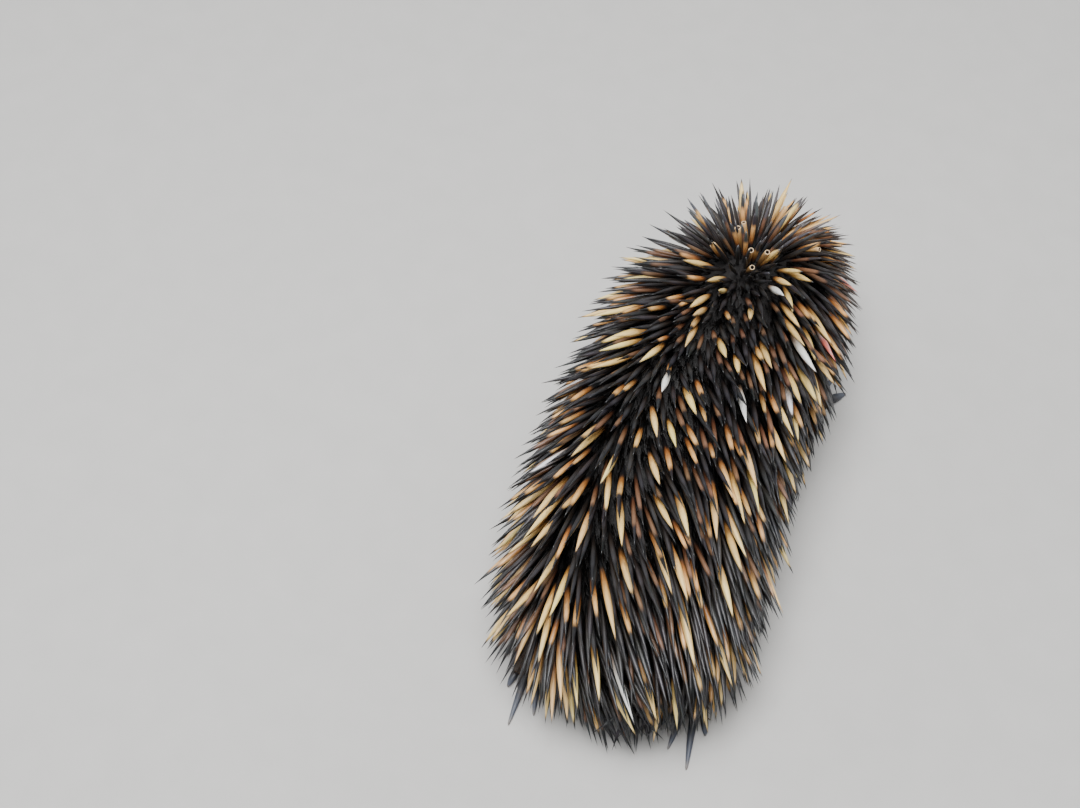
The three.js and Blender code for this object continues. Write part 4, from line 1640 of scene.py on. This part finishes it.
def eyePieces():
    wet = eyeMaterial()
    made = []
    for name, side in sides.items():
        _, out, over, ahead = seatOf(eyes, side)
        middle = eyeCentre(side)
        points, faces = ballMesh(middle, [eyes["radius"]] * 3, (ahead, over, out), 28, 36)
        points = np.array(points)
        front = (points - middle) @ out / eyes["radius"]
        # the cornea stands a little proud
        points += out * (eyes["cornea"] * smooth((front - 0.80) / 0.2))[:, None]
        node = "eye_" + name.lower()
        made.append(finishedPiece("eye" + name, points.tolist(), faces, {"front": front}, wet, node))
    return made


def earPieces():
    g = Shading("earSkin")
    mottle = g.noise(g.object(), 420.0, 4.0)
    inner = g.attribute("inner")
    colour = g.colour(mottle, (0.060, 0.040, 0.032), (0.155, 0.105, 0.082))
    # painted shade: the cup's hollow darkens to near black, standing in for the depth of the ear canal
    colour = g.colour(g.step(inner, 0.15, 0.75), colour, (0.004, 0.003, 0.003))
    skinFinish = g.finish(Base_Color=colour, Roughness=0.6, Normal=g.bump(mottle, 0.4, 0.0004))
    # height over the skin and size of the cup, up its outside, over the rim and down its hollow
    outline = [
        (-0.6, 0.84), (0.0, 0.90), (0.45, 0.97), (0.72, 1.0), (0.86, 0.97), (0.88, 0.90), (0.78, 0.80),
        (0.45, 0.70), (0.0, 0.60), (-0.5, 0.50), (-0.85, 0.2),
    ]
    rimLevel, around = 5, 40
    made = []
    for name, side in sides.items():
        origin, out, over, ahead = seatOf(ears, side)
        turn = np.arange(around) / around * math.tau
        rings = []
        for height, size in outline:
            wide = ears["long"] * size
            tall = ears["tall"] * size
            flare = 1 + 0.16 * np.sin(turn * 3 + 0.6) * max(height, 0)
            rim = ahead * (np.cos(turn) * wide * flare)[:, None] + over * (np.sin(turn) * tall)[:, None]
            rings.append(origin + rim + out * (height * ears["deep"]))
        points, faces = loftMesh(rings)
        levels = np.concatenate([np.repeat(np.arange(len(outline)), around), [0, len(outline) - 1]])
        inner = {"inner": np.clip((levels - rimLevel) / rimLevel, 0, 1)}
        node = "ear_" + name.lower()
        made.append(finishedPiece("ear" + name, points, faces, inner, skinFinish, node))
    return made


eyeParts = eyePieces()
earParts = earPieces()


# Skin finish: near black under the spines, brown under the hair, wrinkled blue-grey on the bare beak
def skinMaterial():
    g = Shading("hide")
    where = g.object()
    bodyRow = g.attribute("bodyRow")
    spined = g.attribute("spined")
    blotch = g.noise(where, 60.0, 5.0)
    pore = g.noise(where, 900.0, 3.0)
    hairy = g.colour(blotch, (0.022, 0.015, 0.011), (0.060, 0.040, 0.029))
    beak = g.colour(g.step(blotch, 0.3, 0.7), (0.018, 0.017, 0.019), (0.050, 0.046, 0.048))
    bare = g.step(bodyRow, row["face"] + 0.3, row["beakBase"] + 0.3)
    colour = g.colour(bare, hairy, beak)
    lids = g.colour(pore, (0.030, 0.024, 0.022), (0.085, 0.066, 0.056))
    colour = g.colour(g.attribute("lids"), colour, lids)
    # near black under the spines: the dark skin, deepened as painted shade in the gaps between the spines
    colour = g.colour(spined, colour, (0.005, 0.004, 0.004))
    stretched = g.vector("MULTIPLY", where, (1.0, 2.6, 2.6))
    wrinkle = g.node(
        "ShaderNodeTexVoronoi",
        {"feature": "DISTANCE_TO_EDGE"},
        {"Vector": stretched, "Scale": 330.0},
        "Distance",
    )
    creased = g.step(wrinkle, 0.0, 0.22)
    bump = g.bump(creased * 0.7 + pore * 0.5, 0.45, 0.0005)
    rough = 0.62 - bare * 0.16 + (pore - 0.5) * 0.1
    return g.finish(Base_Color=colour, Roughness=rough, Normal=bump)


skin.data.materials.clear()
skin.data.materials.append(skinMaterial())
flesh = ["torso", "neck", "tail", "head", "beak"]
flesh += [f"{kind}_leg_{side.lower()}" for kind in limbs for side in sides]
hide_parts(*flesh)


# Floor and light
lamps = {
    "overhead": {"from": (0.1, 0.25, 1.8), "size": 1.0, "power": 62},
    "front": {"from": (-1.0, -1.4, 1.1), "size": 1.2, "power": 8},
    "side": {"from": (1.6, 0.2, 0.9), "size": 0.9, "power": 8},
}
lampsAim = (0, 0, 0.06)
sky = {"colour": (0.92, 0.95, 1.0, 1), "strength": 0.24}


def floorAndLight():
    points = [(-40, -40, 0), (40, -40, 0), (40, 40, 0), (-40, 40, 0)]
    floor = meshObject("floor", points, [(0, 1, 2, 3)], False)
    g = Shading("paleFloor")
    speckle = g.noise(g.object(), 40.0, 6.0)
    tone = g.colour(speckle, (0.50, 0.495, 0.48), (0.56, 0.55, 0.535))
    floor.data.materials.append(g.finish(Base_Color=tone, Roughness=0.8))
    floor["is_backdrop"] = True
    for name, lamp in lamps.items():
        data = bpy.data.lights.new(name, "AREA")
        data.energy = lamp["power"]
        data.size = lamp["size"]
        place = Vector(lamp["from"])
        pointedObject(name, data, place, Vector(lampsAim) - place)
    world = bpy.data.worlds.new("studio")
    world.use_nodes = True
    background = world.node_tree.nodes["Background"].inputs
    background["Color"].default_value = sky["colour"]
    background["Strength"].default_value = sky["strength"]
    bpy.context.scene.world = world


floorAndLight()

for piece in [skin, *spineParts, stubs, *hairParts, *clawParts, *eyeParts, *earParts]:
    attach(piece, "root")

low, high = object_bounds()
past = [np.round((np.array(a) - b) * 1000, 1) for a, b in ((low, cadLow), (high, cadHigh))]
print("box over the solids', in mm:", *past)
